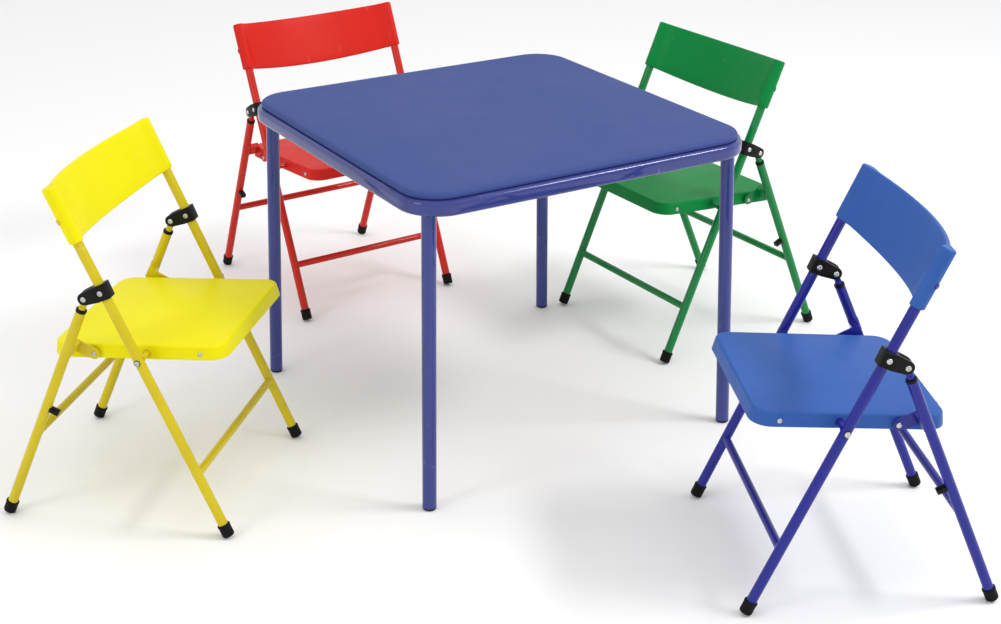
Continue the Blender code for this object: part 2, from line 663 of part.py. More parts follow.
def centre_on_floor(root):
    """Moves the set so that the middle of its plan is over the origin."""
    bpy.context.view_layer.update()
    corners = [o.matrix_world @ v.co for o in bpy.data.objects if o.type == "MESH" for v in o.data.vertices]
    for axis in (0, 1):
        values = [corner[axis] for corner in corners]
        root.location[axis] = -(min(values) + max(values)) / 2


for obj in list(bpy.data.objects):
    bpy.data.objects.remove(obj)
set_root = empty("set_root")
build_table(set_root)
build_chairs(set_root)
centre_on_floor(set_root)
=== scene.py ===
# %% [markdown]
# # A children's folding table with four folding chairs
# The steel and plastic skeleton comes ready made, with its joints. This lesson dresses it: every visible
# piece is drawn again in fine mesh on the same sizes, given a painted, moulded or rubber finish, and set
# to ride on the moving body that it belongs to, so that the chairs can still fold.

# %% Load the skeleton
import json
import math

import bmesh
import bpy
from mathutils import Matrix, Vector


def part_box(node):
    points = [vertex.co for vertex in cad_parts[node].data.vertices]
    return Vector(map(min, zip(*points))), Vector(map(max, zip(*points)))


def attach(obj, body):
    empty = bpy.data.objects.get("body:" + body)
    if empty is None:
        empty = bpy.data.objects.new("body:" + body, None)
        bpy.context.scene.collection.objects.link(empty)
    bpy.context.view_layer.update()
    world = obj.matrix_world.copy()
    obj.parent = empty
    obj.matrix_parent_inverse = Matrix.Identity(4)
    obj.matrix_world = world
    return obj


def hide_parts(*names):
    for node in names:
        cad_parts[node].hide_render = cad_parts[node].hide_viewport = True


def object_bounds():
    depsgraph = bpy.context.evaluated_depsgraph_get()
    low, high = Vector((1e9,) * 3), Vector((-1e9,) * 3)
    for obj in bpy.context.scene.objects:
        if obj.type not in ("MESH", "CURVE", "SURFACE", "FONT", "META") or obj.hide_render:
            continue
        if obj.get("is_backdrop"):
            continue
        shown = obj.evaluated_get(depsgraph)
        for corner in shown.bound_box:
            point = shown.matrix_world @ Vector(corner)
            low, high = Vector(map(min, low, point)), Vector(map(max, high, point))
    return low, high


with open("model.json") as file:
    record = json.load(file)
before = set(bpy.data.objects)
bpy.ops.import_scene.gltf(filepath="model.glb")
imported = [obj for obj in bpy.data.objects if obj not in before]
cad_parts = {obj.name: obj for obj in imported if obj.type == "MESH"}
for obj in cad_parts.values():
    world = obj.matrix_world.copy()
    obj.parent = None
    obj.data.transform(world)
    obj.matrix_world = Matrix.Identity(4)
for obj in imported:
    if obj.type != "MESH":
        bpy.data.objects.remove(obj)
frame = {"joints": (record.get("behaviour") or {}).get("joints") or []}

skeleton_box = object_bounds()
COLOURS = ("yellow", "red", "green", "blue")

# %% [markdown]
# ## Where things are
# Nothing is placed by eye. The table is read from its nodes' boxes. A chair's own frame, with x forward,
# y to its left and z up, follows from its joints: the seat's hinge lies on the post, and the slide's
# direction is the rear leg's. Only the post's lean has to be known to find the point on the floor that
# everything is measured from.

# %% The table's middle and each chair's frame
rim_low, rim_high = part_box("table_rim")
MIDDLE = (rim_low + rim_high) / 2
TABLE_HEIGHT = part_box("table_top")[1].z
POST_LEAN = math.radians(23.27)
UP_POST = Vector((-math.sin(POST_LEAN), 0, math.cos(POST_LEAN)))
BEHIND_POST = Vector((-math.cos(POST_LEAN), 0, -math.sin(POST_LEAN)))
ASIDE = Vector((0, 1, 0))
joints = {joint["name"]: joint for joint in frame["joints"]}


def chair_frame(colour):
    """The matrix from a chair's own frame to the room."""
    left = Vector(joints[colour + "_frame_fold"]["axis"])
    up = Vector((0, 0, 1))
    forward = left.cross(up)
    turn = Matrix((forward, left, up)).transposed()
    hinge = Vector(joints[colour + "_seat_fold"]["pos_m"])
    return Matrix.Translation(hinge - turn @ (UP_POST * (hinge.z / UP_POST.z))) @ turn.to_4x4()


PLACES = {colour: chair_frame(colour) for colour in COLOURS}
to_chair = PLACES["yellow"].inverted()
SEAT_PIVOT = to_chair @ Vector(joints["yellow_seat_fold"]["pos_m"])
ROD_PIVOT = to_chair @ Vector(joints["yellow_frame_fold"]["pos_m"])
UP_LEG = (to_chair.to_3x3() @ Vector(joints["yellow_rods_slide"]["axis"])).normalized()
REAR_FOOT = ROD_PIVOT - UP_LEG * (ROD_PIVOT.z / UP_LEG.z)
feet = [sum(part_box("yellow_front_foot_" + side), Vector()) / 2 for side in ("left", "right")]
HALF_TRACK = (feet[0] - feet[1]).length / 2
print("seat pivot", SEAT_PIVOT.to_tuple(4), "and rear foot", REAR_FOOT.to_tuple(4))
print("the tubes stand", round(2 * HALF_TRACK, 4), "m apart")

# %% [markdown]
# ## Camera, light and floor
# The set is seen from standing height with a long lens, so that its lines converge only a little. A bare
# room would light gloss paint with hard dots. Here a big soft light high on the right draws the white
# line along the table's rim and down each tube, a wide one overhead and a weak one on the left fill the
# shadows, and the room itself is white. The floor is a plain pale sheet, and belongs to the stage.

# %% Camera
CAMERA_FROM_TABLE = Vector((-1.3313, -2.2035, 0))
CAMERA_HEIGHT = 1.2875
LOOK_YAW = math.radians(58.564)
LOOK_DOWN = math.radians(23.69)
LOOK_ROLL = math.radians(0.25)
LENS = 59.03


def look_matrix(place, yaw, down, roll):
    """A camera's matrix from where it stands and the three angles of its look."""
    level = math.cos(down)
    ahead = Vector((math.cos(yaw) * level, math.sin(yaw) * level, -math.sin(down)))
    right = Vector((math.sin(yaw), -math.cos(yaw), 0))
    up = right.cross(ahead)
    rolled_right = right * math.cos(roll) + up * math.sin(roll)
    rolled_up = up * math.cos(roll) - right * math.sin(roll)
    turn = Matrix((rolled_right, rolled_up, -ahead)).transposed()
    return Matrix.Translation(place) @ turn.to_4x4()


camera_data = bpy.data.cameras.new("camera")
camera_data.lens = LENS
camera_data.sensor_width = 36
camera = bpy.data.objects.new("camera", camera_data)
bpy.context.scene.collection.objects.link(camera)
camera_place = Vector((MIDDLE.x, MIDDLE.y, CAMERA_HEIGHT)) + CAMERA_FROM_TABLE
camera.matrix_world = look_matrix(camera_place, LOOK_YAW, LOOK_DOWN, LOOK_ROLL)
bpy.context.scene.camera = camera
bpy.context.scene.view_settings.view_transform = "Standard"
print("camera", [round(v, 3) for v in camera.location])


# %% Lights
def softbox(name, place, size, power, towards=(0, 0, 0.3)):
    """A rectangular soft light of so many watts, aimed at a point low in the middle of the set."""
    data = bpy.data.lights.new(name, "AREA")
    data.shape = "RECTANGLE"
    data.size, data.size_y = size
    data.energy = power
    light = bpy.data.objects.new(name, data)
    light.location = place
    light.rotation_euler = (Vector(towards) - Vector(place)).to_track_quat("-Z", "Y").to_euler()
    bpy.context.scene.collection.objects.link(light)


softbox("key_right", (1.9, -1.7, 2.6), (1.2, 0.5), 50)
softbox("fill_left", (-2.9, -0.6, 1.7), (0.8, 1.6), 14)
softbox("overhead", (0.0, 0.2, 3.4), (3.0, 3.0), 14)
world = bpy.data.worlds.new("studio")
world.use_nodes = True
background = world.node_tree.nodes["Background"]
background.inputs["Color"].default_value = (1, 1, 1, 1)
background.inputs["Strength"].default_value = 0.90
bpy.context.scene.world = world
print(len(bpy.data.lights), "lights in a white room")

# %% Floor
FLOOR_HALF = 9.0
FLOOR_DROP = 0.0005
floor_plan = ((-1, -1), (1, -1), (1, 1), (-1, 1))
floor_corners = [(x * FLOOR_HALF, y * FLOOR_HALF, -FLOOR_DROP) for x, y in floor_plan]
floor_mesh = bpy.data.meshes.new("floor")
floor_mesh.from_pydata(floor_corners, [], [(0, 1, 2, 3)])
floor = bpy.data.objects.new("floor", floor_mesh)
bpy.context.scene.collection.objects.link(floor)
floor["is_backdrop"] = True
print("floor", 2 * FLOOR_HALF, "m a side")

# %% [markdown]
# ## Shader groups
# Four effects come back in several finishes. Copying their nodes into each material would work, but then
# a change to one has to be made five times. So each is built once as a node group with named sockets. A
# group gives out only colours, sheens and heights that change over the surface, and each material keeps
# its own shader.


# %% Building node groups
def new_group(name, inputs, outputs):
    """An empty node group with its sockets: inputs are (name, type, default), outputs (name, type)."""
    group = bpy.data.node_groups.new(name, "ShaderNodeTree")
    for socket, kind, value in inputs:
        made = group.interface.new_socket(socket, in_out="INPUT", socket_type=kind)
        made.default_value = value
    for socket, kind in outputs:
        group.interface.new_socket(socket, in_out="OUTPUT", socket_type=kind)
    return group, group.nodes.new("NodeGroupInput").outputs, group.nodes.new("NodeGroupOutput").inputs


def node(tree, kind, links=None, **settings):
    """A new node with its settings made, and its inputs linked or set by name or number."""
    made = tree.nodes.new(kind)
    for key, value in settings.items():
        setattr(made, key, value)
    for key, value in (links or {}).items():
        if isinstance(value, bpy.types.NodeSocket):
            tree.links.new(value, made.inputs[key])
        else:
            made.inputs[key].default_value = value
    return made


def math_node(tree, operation, first, second=0.0, third=0.0):
    return node(tree, "ShaderNodeMath", {0: first, 1: second, 2: third}, operation=operation).outputs[0]


def share_of(tree, value, from_low, from_high, low=0.0, high=1.0):
    """A value's share of the way through a range, as a number from 0 to 1 or from low to high."""
    made = node(tree, "ShaderNodeMapRange", {"Value": value, "From Min": from_low, "From Max": from_high,
                                             "To Min": low, "To Max": high})
    return made.outputs["Result"]


def noise(tree, scale, detail, rough, place):
    made = node(tree, "ShaderNodeTexNoise", {"Vector": place, "Scale": scale,
                                             "Detail": detail, "Roughness": rough})
    return made.outputs["Fac"]


def colour_mix(tree, share, first, second):
    """Two colours mixed. The node has sockets for other kinds of data too, so its colours go by number."""
    return node(tree, "ShaderNodeMix", {0: share, 6: first, 7: second}, data_type="RGBA").outputs[2]


def own_place(tree):
    """Coordinates fixed to the object, in metres, so that a texture keeps its real scale."""
    return node(tree, "ShaderNodeTexCoord").outputs["Object"]


print("node helpers ready")

# %% [markdown]
# ### Relief: mould grain and paint ripple
# Plastic copies the etched face of its mould: rounded cells with something finer between them. Rounded
# Voronoi cells mixed with noise look like that at any size, where noise alone looks like dust. Enamel
# flows before it sets and keeps long shallow waves with a few specks in them, so its group is one slow
# noise and one quick one.


# %% Relief groups
def mould_grain_group():
    group, given, out = new_group("mould grain", [("Scale", "NodeSocketFloat", 900.0)],
                                  [("Height", "NodeSocketFloat")])
    place = own_place(group)
    cells = node(group, "ShaderNodeTexVoronoi", {"Vector": place, "Scale": given["Scale"],
                                                 "Smoothness": 0.6}, feature="SMOOTH_F1")
    fine = noise(group, math_node(group, "MULTIPLY", given["Scale"], 2.1), 3.0, 0.6, place)
    fine_share = math_node(group, "MULTIPLY", fine, 0.3)
    mixed = math_node(group, "MULTIPLY_ADD", cells.outputs["Distance"], 0.7, fine_share)
    group.links.new(mixed, out["Height"])
    return group


def paint_ripple_group():
    group, given, out = new_group("paint ripple", [("Scale", "NodeSocketFloat", 160.0)],
                                  [("Height", "NodeSocketFloat")])
    place = own_place(group)
    wave = noise(group, given["Scale"], 1.0, 0.4, place)
    speck = noise(group, math_node(group, "MULTIPLY", given["Scale"], 6.0), 2.0, 0.5, place)
    group.links.new(math_node(group, "MULTIPLY_ADD", speck, 0.12, wave), out["Height"])
    return group


GRAIN = mould_grain_group()
RIPPLE = paint_ripple_group()
print("relief groups:", GRAIN.name, "and", RIPPLE.name)

# %% [markdown]
# ### Use: handling and scuffs
# Nothing that children use stays one even colour. Hands leave the sheen uneven in patches, and dragging
# leaves a few thin pale lines. Both could be painted on by hand, but that needs every piece unwrapped and
# goes coarse close up. Slow noise gives the patches. Noise pulled out long in one direction gives the
# lines, in two directions so that they cross.


# %% Handling
def handling_group():
    group, given, out = new_group(
        "handling",
        [("Color", "NodeSocketColor", (1, 1, 1, 1)), ("Drift Color", "NodeSocketColor", (1, 1, 1, 1)),
         ("Scale", "NodeSocketFloat", 9.0), ("Amount", "NodeSocketFloat", 0.5),
         ("Gloss", "NodeSocketFloat", 0.3), ("Matt", "NodeSocketFloat", 0.45)],
        [("Color", "NodeSocketColor"), ("Roughness", "NodeSocketFloat")])
    place = own_place(group)
    slow = share_of(group, noise(group, given["Scale"], 4.0, 0.55, place), 0.3, 0.7)
    quick = noise(group, math_node(group, "MULTIPLY", given["Scale"], 7.0), 3.0, 0.6, place)
    share = math_node(group, "MULTIPLY", slow, given["Amount"])
    group.links.new(colour_mix(group, share, given["Color"], given["Drift Color"]), out["Color"])
    both = math_node(group, "MULTIPLY_ADD", quick, 0.5, math_node(group, "MULTIPLY", slow, 0.5))
    group.links.new(share_of(group, both, 0.2, 0.8, given["Gloss"], given["Matt"]), out["Roughness"])
    return group


HANDLING = handling_group()
print("group:", HANDLING.name)


# %% Scuffs
def scuffs_group():
    group, given, out = new_group(
        "scuffs",
        [("Color", "NodeSocketColor", (1, 1, 1, 1)), ("Scuff Color", "NodeSocketColor", (1, 1, 1, 1)),
         ("Amount", "NodeSocketFloat", 0.3)],
        [("Color", "NodeSocketColor")])
    place = own_place(group)
    marks = []
    for stretch in ((7.0, 90.0, 40.0), (80.0, 9.0, 30.0)):
        pulled = node(group, "ShaderNodeVectorMath", {0: place, 1: stretch}, operation="MULTIPLY")
        lines = noise(group, 1.0, 3.0, 0.55, pulled.outputs[0])
        marks.append(share_of(group, lines, 0.70, 0.76))
    both = math_node(group, "MAXIMUM", marks[0], marks[1])
    share = math_node(group, "MULTIPLY", both, given["Amount"])
    group.links.new(colour_mix(group, share, given["Color"], given["Scuff Color"]), out["Color"])
    return group


SCUFFS = scuffs_group()
print("group:", SCUFFS.name)

# %% [markdown]
# ## Finishes
# The tubes wear glossy baked enamel, a clear shine over a colour that is slightly deeper than the
# plastic's. Seats and backs are polypropylene: a satin skin over a coloured body, with a fine mould
# grain. The table's top is a padded vinyl, quite matt. The brackets, collars and bumpers are black nylon,
# the feet rubber, the rivets zinc. Each could be one flat colour with one sheen, and would then look like
# a drawing of itself. So one helper puts drifting shade, scuffs and relief on all of them, and a recipe
# for each finish only sets how much.


# %% Colours
def from_screen(red, green, blue):
    """A colour given as it shows on a screen, 0 to 255, as the linear colour that a shader takes."""
    shares = [value / 255 for value in (red, green, blue)]
    return tuple(s / 12.92 if s <= 0.04045 else ((s + 0.055) / 1.055) ** 2.4 for s in shares) + (1.0,)


def blended(first, second, share):
    return tuple(a + (b - a) * share for a, b in zip(first, second))


WHITE = (1.0, 1.0, 1.0, 1.0)
BLACK = (0.0, 0.0, 0.0, 1.0)
print("a screen's middle grey is", round(from_screen(128, 128, 128)[0], 3), "in linear light")


# %% The shared parts of a finish
def new_material(name, metallic=0.0, coat=0.0, coat_rough=0.1, specular=0.5):
    made = bpy.data.materials.new(name)
    made.use_nodes = True
    shader = made.node_tree.nodes["Principled BSDF"]
    shader.inputs["Metallic"].default_value = metallic
    shader.inputs["Specular IOR Level"].default_value = specular
    shader.inputs["Coat Weight"].default_value = coat
    shader.inputs["Coat Roughness"].default_value = coat_rough
    return made, made.node_tree, shader


def dress(tree, shader, color, drift, worn, handling, scuff, relief):
    """Colour and sheen from the handling and scuff groups, and a bump from the relief's group.

    Handling is (scale, amount, gloss, matt), scuff an amount, and relief (group, scale, depth in metres).
    """
    scale, amount, gloss, matt = handling
    use = {"Color": color, "Drift Color": drift, "Scale": scale,
           "Amount": amount, "Gloss": gloss, "Matt": matt}
    hands = node(tree, "ShaderNodeGroup", use, node_tree=HANDLING)
    wear = {"Color": hands.outputs["Color"], "Scuff Color": worn, "Amount": scuff}
    marks = node(tree, "ShaderNodeGroup", wear, node_tree=SCUFFS)
    tree.links.new(marks.outputs["Color"], shader.inputs["Base Color"])
    tree.links.new(hands.outputs["Roughness"], shader.inputs["Roughness"])
    group, relief_scale, depth = relief
    texture = node(tree, "ShaderNodeGroup", {"Scale": relief_scale}, node_tree=group)
    height = texture.outputs["Height"]
    bump = node(tree, "ShaderNodeBump", {"Height": height, "Strength": 1.0, "Distance": depth})
    tree.links.new(bump.outputs["Normal"], shader.inputs["Normal"])


print("each finish is dressed by", HANDLING.name, "and", SCUFFS.name)


# %% Enamel, moulded plastic, vinyl
def enamel(name, color, coat):
    """Baked paint: a clear coat over long ripples, darker where it is thin, paler where it is rubbed."""
    made, tree, shader = new_material(name, coat=coat, coat_rough=0.05, specular=0.05)
    dress(tree, shader, color, blended(color, BLACK, 0.22), blended(color, WHITE, 0.3),
          (14.0, 0.5, 0.26, 0.38), 0.18, (RIPPLE, 170.0, 0.00012))
    return made


def moulded_plastic(name, color):
    """Polypropylene: nearly no coat, a satin skin and a fine grain."""
    made, tree, shader = new_material(name, coat=0.03, coat_rough=0.3, specular=0.10)
    dress(tree, shader, color, blended(color, BLACK, 0.10), blended(color, WHITE, 0.22),
          (7.0, 0.55, 0.36, 0.50), 0.14, (GRAIN, 620.0, 0.00006))
    return made


def padded_vinyl(name, color):
    """The table's top: the mattest of the colours, with a coarser grain."""
    made, tree, shader = new_material(name, specular=0.10)
    dress(tree, shader, color, blended(color, (0.03, 0.08, 0.24, 1.0), 0.5), blended(color, WHITE, 0.12),
          (3.0, 0.5, 0.50, 0.62), 0.10, (GRAIN, 420.0, 0.00010))
    return made


print("recipes for the colours: enamel, moulded plastic, padded vinyl")


# %% Black plastic and rubber, zinc, hardboard
def plain_black(name, relief, gloss, matt):
    made, tree, shader = new_material(name, specular=0.16)
    color = from_screen(5, 5, 6)
    dress(tree, shader, color, from_screen(20, 19, 19), from_screen(70, 68, 66),
          (22.0, 0.7, gloss, matt), 0.25, relief)
    return made


def zinc(name):
    made, tree, shader = new_material(name, metallic=1.0)
    dress(tree, shader, from_screen(205, 205, 202), from_screen(160, 158, 152), from_screen(232, 232, 230),
          (60.0, 0.7, 0.20, 0.38), 0.3, (RIPPLE, 420.0, 0.00005))
    return made


def hardboard(name):
    made, tree, shader = new_material(name)
    dress(tree, shader, from_screen(122, 92, 64), from_screen(92, 68, 46), from_screen(150, 120, 90),
          (30.0, 0.8, 0.65, 0.85), 0.5, (GRAIN, 260.0, 0.0002))
    return made


print("recipes for the rest: black plastic or rubber, zinc, hardboard")

# %% One of each, in the set's colours
PLASTIC = {
    "yellow": from_screen(230, 220, 3),
    "red": from_screen(206, 36, 26),
    "green": from_screen(0, 126, 58),
    "blue": from_screen(52, 92, 166),
}
TUBE_PAINT = {
    "yellow": from_screen(206, 186, 14),
    "red": from_screen(196, 34, 18),
    "green": from_screen(0, 124, 60),
    "blue": from_screen(34, 38, 138),
}
finishes = {
    "table_top": padded_vinyl("table_vinyl", from_screen(60, 74, 132)),
    "table_enamel": enamel("table_enamel", from_screen(50, 60, 130), 0.8),
    "black_plastic": plain_black("black_nylon", (GRAIN, 1400.0, 0.00003), 0.34, 0.5),
    "foot_rubber": plain_black("foot_rubber", (GRAIN, 900.0, 0.00012), 0.62, 0.8),
    "steel": zinc("zinc_steel"),
}
for colour in COLOURS:
    finishes[colour + "_plastic"] = moulded_plastic(colour + "_plastic", PLASTIC[colour])
    finishes[colour + "_enamel"] = enamel(colour + "_enamel", TUBE_PAINT[colour], 0.5)
board_finish = hardboard("hardboard")
floor_material, _, floor_shader = new_material("floor")
floor_shader.inputs["Base Color"].default_value = (0.90, 0.90, 0.90, 1)
floor_shader.inputs["Roughness"].default_value = 0.7
floor_mesh.materials.append(floor_material)
print(len(bpy.data.materials), "materials")

# %% [markdown]
# ## Mesh helpers
# Most of the set is bar, tube and moulding, so three ways of making mesh cover it: a skin lofted through
# rings, a profile turned about a line, and an outline cut from plate with its edges rounded. Cylinders
# and cubes with modifiers could do some of it, but the rings say the real sizes outright, and the mesh
# stays light and even.

# %% Loft
SHARP = math.radians(32)
SAME_POINT = 2e-6


def to_mesh(bm):
    """The finished mesh: doubles merged, faces turned outwards, smooth but for edges sharper than SHARP."""
    bmesh.ops.remove_doubles(bm, verts=bm.verts, dist=SAME_POINT)
    bmesh.ops.recalc_face_normals(bm, faces=bm.faces)
    mesh = bpy.data.meshes.new("shape")
    bm.to_mesh(mesh)
    bm.free()
    mesh.shade_smooth()
    mesh.set_sharp_from_angle(angle=SHARP)
    return mesh


def loft(rings, closed=False):
    """A skin through rings of equally many points: a loop of rings, or one with a cap at each end."""
    bm = bmesh.new()
    loops = [[bm.verts.new(point) for point in ring] for ring in rings]
    pairs = list(zip(loops, loops[1:]))
    if closed:
        pairs.append((loops[-1], loops[0]))
    else:
        bm.faces.new(loops[0])
        bm.faces.new(loops[-1])
    for first, second in pairs:
        for i, point in enumerate(first):
            j = (i + 1) % len(first)
            bm.faces.new((point, first[j], second[j], second[i]))
    return to_mesh(bm)


print("edges sharper than", round(math.degrees(SHARP)), "degrees stay crisp")

# %% [markdown]
# ### Turned parts
# Rods, feet, rivets, collars and tubes are all round, so each is a profile turned about its own line, as
# on a lathe. A plain cylinder has edges that no real part has: too sharp to catch any light. So the bar
# profile here rounds both its edges with a quarter turn of a few steps.


# %% Turned bars, rings and tubes
SIDES = 32


def turned(start, direction, profile, sides=SIDES, closed=False):
    """A profile of (radius, distance) turned about the line from start along direction."""
    along = Vector(direction).normalized()
    helper = ASIDE if abs(along.y) < 0.9 else Vector((0, 0, 1))
    aside = along.cross(helper).normalized()
    across = along.cross(aside)
    rings = []
    for radius, distance in profile:
        middle = Vector(start) + along * distance
        turn = [2 * math.pi * (i + 0.5) / sides for i in range(sides)]
        rings.append([middle + radius * (math.cos(a) * aside + math.sin(a) * across) for a in turn])
    return loft(rings, closed)


def quarter(steps=4):
    """The angles of a quarter turn."""
    return [math.pi / 2 * i / steps for i in range(steps + 1)]


def eased(radius, start, end, ease):
    """The profile of a bar from start to end whose two edges are rounded."""
    first = [(radius - ease + ease * math.sin(a), start + ease - ease * math.cos(a)) for a in quarter()]
    last = [(radius - ease + ease * math.cos(a), end - ease + ease * math.sin(a)) for a in quarter()]
    return first + last


def ring_profile(radius, hole, start, end, ease):
    """The closed profile of a washer or collar with rounded outer edges."""
    return eased(radius, start, end, ease) + [(hole, end), (hole, start)]


print("a rounded edge is drawn in", len(quarter()) - 1, "steps, a round part with", SIDES, "sides")


# %% Tube and plate
def tube(start, end, radius, wall, stops=()):
    """An open tube. It has an extra ring at each stop, to keep a later weld's mesh local."""
    start, end = Vector(start), Vector(end)
    length = (end - start).length
    outside = [(radius, distance) for distance in sorted([0.0, *stops, length])]
    return turned(start, end - start, outside + [(radius - wall, length), (radius - wall, 0)], closed=True)


def plate(outline, y_from, y_to, ease=0.0006):
    """A flat part cut to an outline of (x, z) points, the edges of its two faces rounded."""
    bm = bmesh.new()
    ends = [[bm.verts.new((x, y, z)) for x, z in outline] for y in (y_from, y_to)]
    for end in ends:
        bm.faces.new(end)
    for i in range(len(outline)):
        j = (i + 1) % len(outline)
        bm.faces.new((ends[0][i], ends[0][j], ends[1][j], ends[1][i]))
    rims = [edge for edge in bm.edges if abs(edge.verts[0].co.y - edge.verts[1].co.y) < 1e-9]
    bmesh.ops.bevel(bm, geom=rims, offset=ease, segments=2, profile=0.5, affect="EDGES")
    return to_mesh(bm)


def side_view(points):
    """Points of the side view as the (x, z) pairs that a plate's outline takes."""
    return [(point.x, point.z) for point in points]


print("tube and plate ready")

# %% [markdown]
# ### Welds and holes
# A crossbar that only touches its tube shows a seam of shadow that no weld has. Joining the meshes by
# hand is slow and leaves gaps. A Boolean joins or cuts closed shapes exactly, and the manifold solver is
# quick because it takes only closed ones. Its result is read back as plain mesh, so that no modifier is
# left on a finished piece.


# %% Weld and pierce
def worked(mesh, steps):
    """The mesh with each (operation, mesh) carried out: UNION welds, DIFFERENCE cuts."""
    base = bpy.data.objects.new("work", mesh)
    bpy.context.scene.collection.objects.link(base)
    tools = []
    for operation, tool_mesh in steps:
        tool = bpy.data.objects.new("tool", tool_mesh)
        bpy.context.scene.collection.objects.link(tool)
        modifier = base.modifiers.new(operation, "BOOLEAN")
        modifier.operation = operation
        modifier.solver = "MANIFOLD"
        modifier.object = tool
        tools.append(tool)
    bpy.context.view_layer.update()
    evaluated = base.evaluated_get(bpy.context.evaluated_depsgraph_get())
    bm = bmesh.new()
    bm.from_mesh(bpy.data.meshes.new_from_object(evaluated))
    for obj in [base, *tools]:
        bpy.data.objects.remove(obj)
    return to_mesh(bm)


def welded(mesh, *others):
    return worked(mesh, [("UNION", other) for other in others])


def pierced(mesh, *tools):
    return worked(mesh, [("DIFFERENCE", tool) for tool in tools])


print("weld and pierce ready")


# %% Move, mirror and join
def moved(mesh, matrix):
    """A copy of the mesh put elsewhere; a mirrored copy has its faces turned outwards again."""
    copy = mesh.copy()
    copy.transform(matrix)
    if matrix.determinant() < 0:
        copy.flip_normals()
    return copy


def together(meshes):
    """Several separate shapes in one mesh, such as a set of rivets."""
    bm = bmesh.new()
    for mesh in meshes:
        bm.from_mesh(mesh)
    return to_mesh(bm)


def to_right(mesh):
    """The other side's copy of a piece drawn on the left."""
    return moved(mesh, Matrix.Scale(-1, 4, (0, 1, 0)))


def both_sides(meshes):
    """Shapes drawn on the left with their copies on the right, as one mesh."""
    return together(meshes + [to_right(mesh) for mesh in meshes])


print("a left piece makes its own right one")

# %% Show a piece
shown = []


def show(name, mesh, body, slot, nodes=(), finish=None):
    """Puts a finished mesh in the room, on its body, with its finish and the nodes that it stands for."""
    piece = bpy.data.objects.new(name, mesh)
    bpy.context.scene.collection.objects.link(piece)
    mesh.materials.clear()
    mesh.materials.append(finish or finishes[slot])
    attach(piece, body)
    if nodes:
        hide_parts(*nodes)
    shown.append(piece)


print("pieces can be shown, each riding on one body")

# %% [markdown]
# ## The table
# A padded top sits in a rolled steel rim. The rim stands a little way out from the top, which leaves a
# dark line between them, and its outer side is one soft round that catches the light. Sweeping a section
# along a curve would pinch it at the corners. Both pieces are rings of the same rounded square instead,
# each ring at its own inset and height, so one helper draws the ring and each piece brings its section.

# %% The table's sizes
TABLE_CORNER = 0.066
TOP_INSET = 0.007
TOP_EDGE = 0.0105
TOP_ROUND = 0.006
TOP_HEM = 0.003
VINYL_WALL = 0.004
GAP = 0.0003
RIM_HEIGHT = 0.024
RIM_ROUND = 0.007
RIM_WALL = 0.0015
RIM_FLANGE = 0.022
RIM_LIP = 0.0015
CORNER_STEPS = 14
table_half = (rim_high.x - rim_low.x) / 2
flange_top = TABLE_HEIGHT - TOP_EDGE - GAP
rim_bottom = flange_top - RIM_HEIGHT
print("table", round(2 * table_half, 4), "m a side,", round(TABLE_HEIGHT, 4), "m high")


# %% A ring and a round of a section
def square_ring(inset, height):
    """A rounded square inside the rim's outline, at a height, about the table's middle."""
    centre = table_half - TABLE_CORNER
    radius = TABLE_CORNER - inset
    ring = []
    for corner, (out_x, out_y) in enumerate(((1, 1), (-1, 1), (-1, -1), (1, -1))):
        for angle in quarter(CORNER_STEPS):
            turn = angle + corner * math.pi / 2
            ring.append(Vector((MIDDLE.x + out_x * centre + radius * math.cos(turn),
                                MIDDLE.y + out_y * centre + radius * math.sin(turn), height)))
    return ring


def arc(inset, height, radius, start, end, steps=6):
    """A round of a section, as (inset, height), between two angles in degrees: 0 is out and 90 is up."""
    turn = [math.radians(start + (end - start) * i / steps) for i in range(steps + 1)]
    return [(inset - radius * math.cos(a), height + radius * math.sin(a)) for a in turn]


print("one ring has", len(square_ring(0, 0)), "points")

# %% [markdown]
# ### The padded top
# Vinyl is stretched over a thin pad and turned under at the edge, so the face isn't flat: it swells a
# little just inside the edge and is level beyond. A pad as soft as a cushion could be blown up by a cloth
# simulation, but this one is under a millimetre high, so its section says the swell outright. A hardboard
# panel closes it below.

# %% The padded top
FACE_STEPS = 9
PAD_RISE = 0.0004
PAD_REACH = TABLE_CORNER - TOP_INSET - TOP_ROUND - 0.004
low = TABLE_HEIGHT - TOP_EDGE
top_section = [(TOP_INSET + VINYL_WALL, low + 0.0005), (TOP_INSET + TOP_HEM, low)]
top_section += arc(TOP_INSET + TOP_HEM, low + TOP_HEM, TOP_HEM, -90, 0)
top_section += arc(TOP_INSET + TOP_ROUND, TABLE_HEIGHT - PAD_RISE - TOP_ROUND, TOP_ROUND, 0, 82)
for step in range(1, FACE_STEPS):
    share = step / FACE_STEPS
    rise = PAD_RISE * math.sin(math.pi / 2 * min(1, share * 3))
    top_section.append((TOP_INSET + TOP_ROUND + PAD_REACH * share, TABLE_HEIGHT - PAD_RISE + rise))
underside = [(TOP_INSET + VINYL_WALL, TABLE_HEIGHT - VINYL_WALL)]
top_mesh = loft([square_ring(inset, height) for inset, height in underside + top_section])
show("table_top_pad", top_mesh, "table", "table_top", ["table_top"])
print("padded top", len(top_mesh.polygons), "faces")

# %% The board under it
BOARD_THICK = 0.0035
board_heights = (TABLE_HEIGHT - VINYL_WALL - BOARD_THICK, TABLE_HEIGHT - VINYL_WALL - GAP)
board_mesh = loft([square_ring(TOP_INSET + VINYL_WALL + GAP, height) for height in board_heights])
show("table_board", board_mesh, "table", "", finish=board_finish)
print("board", len(board_mesh.polygons), "faces")

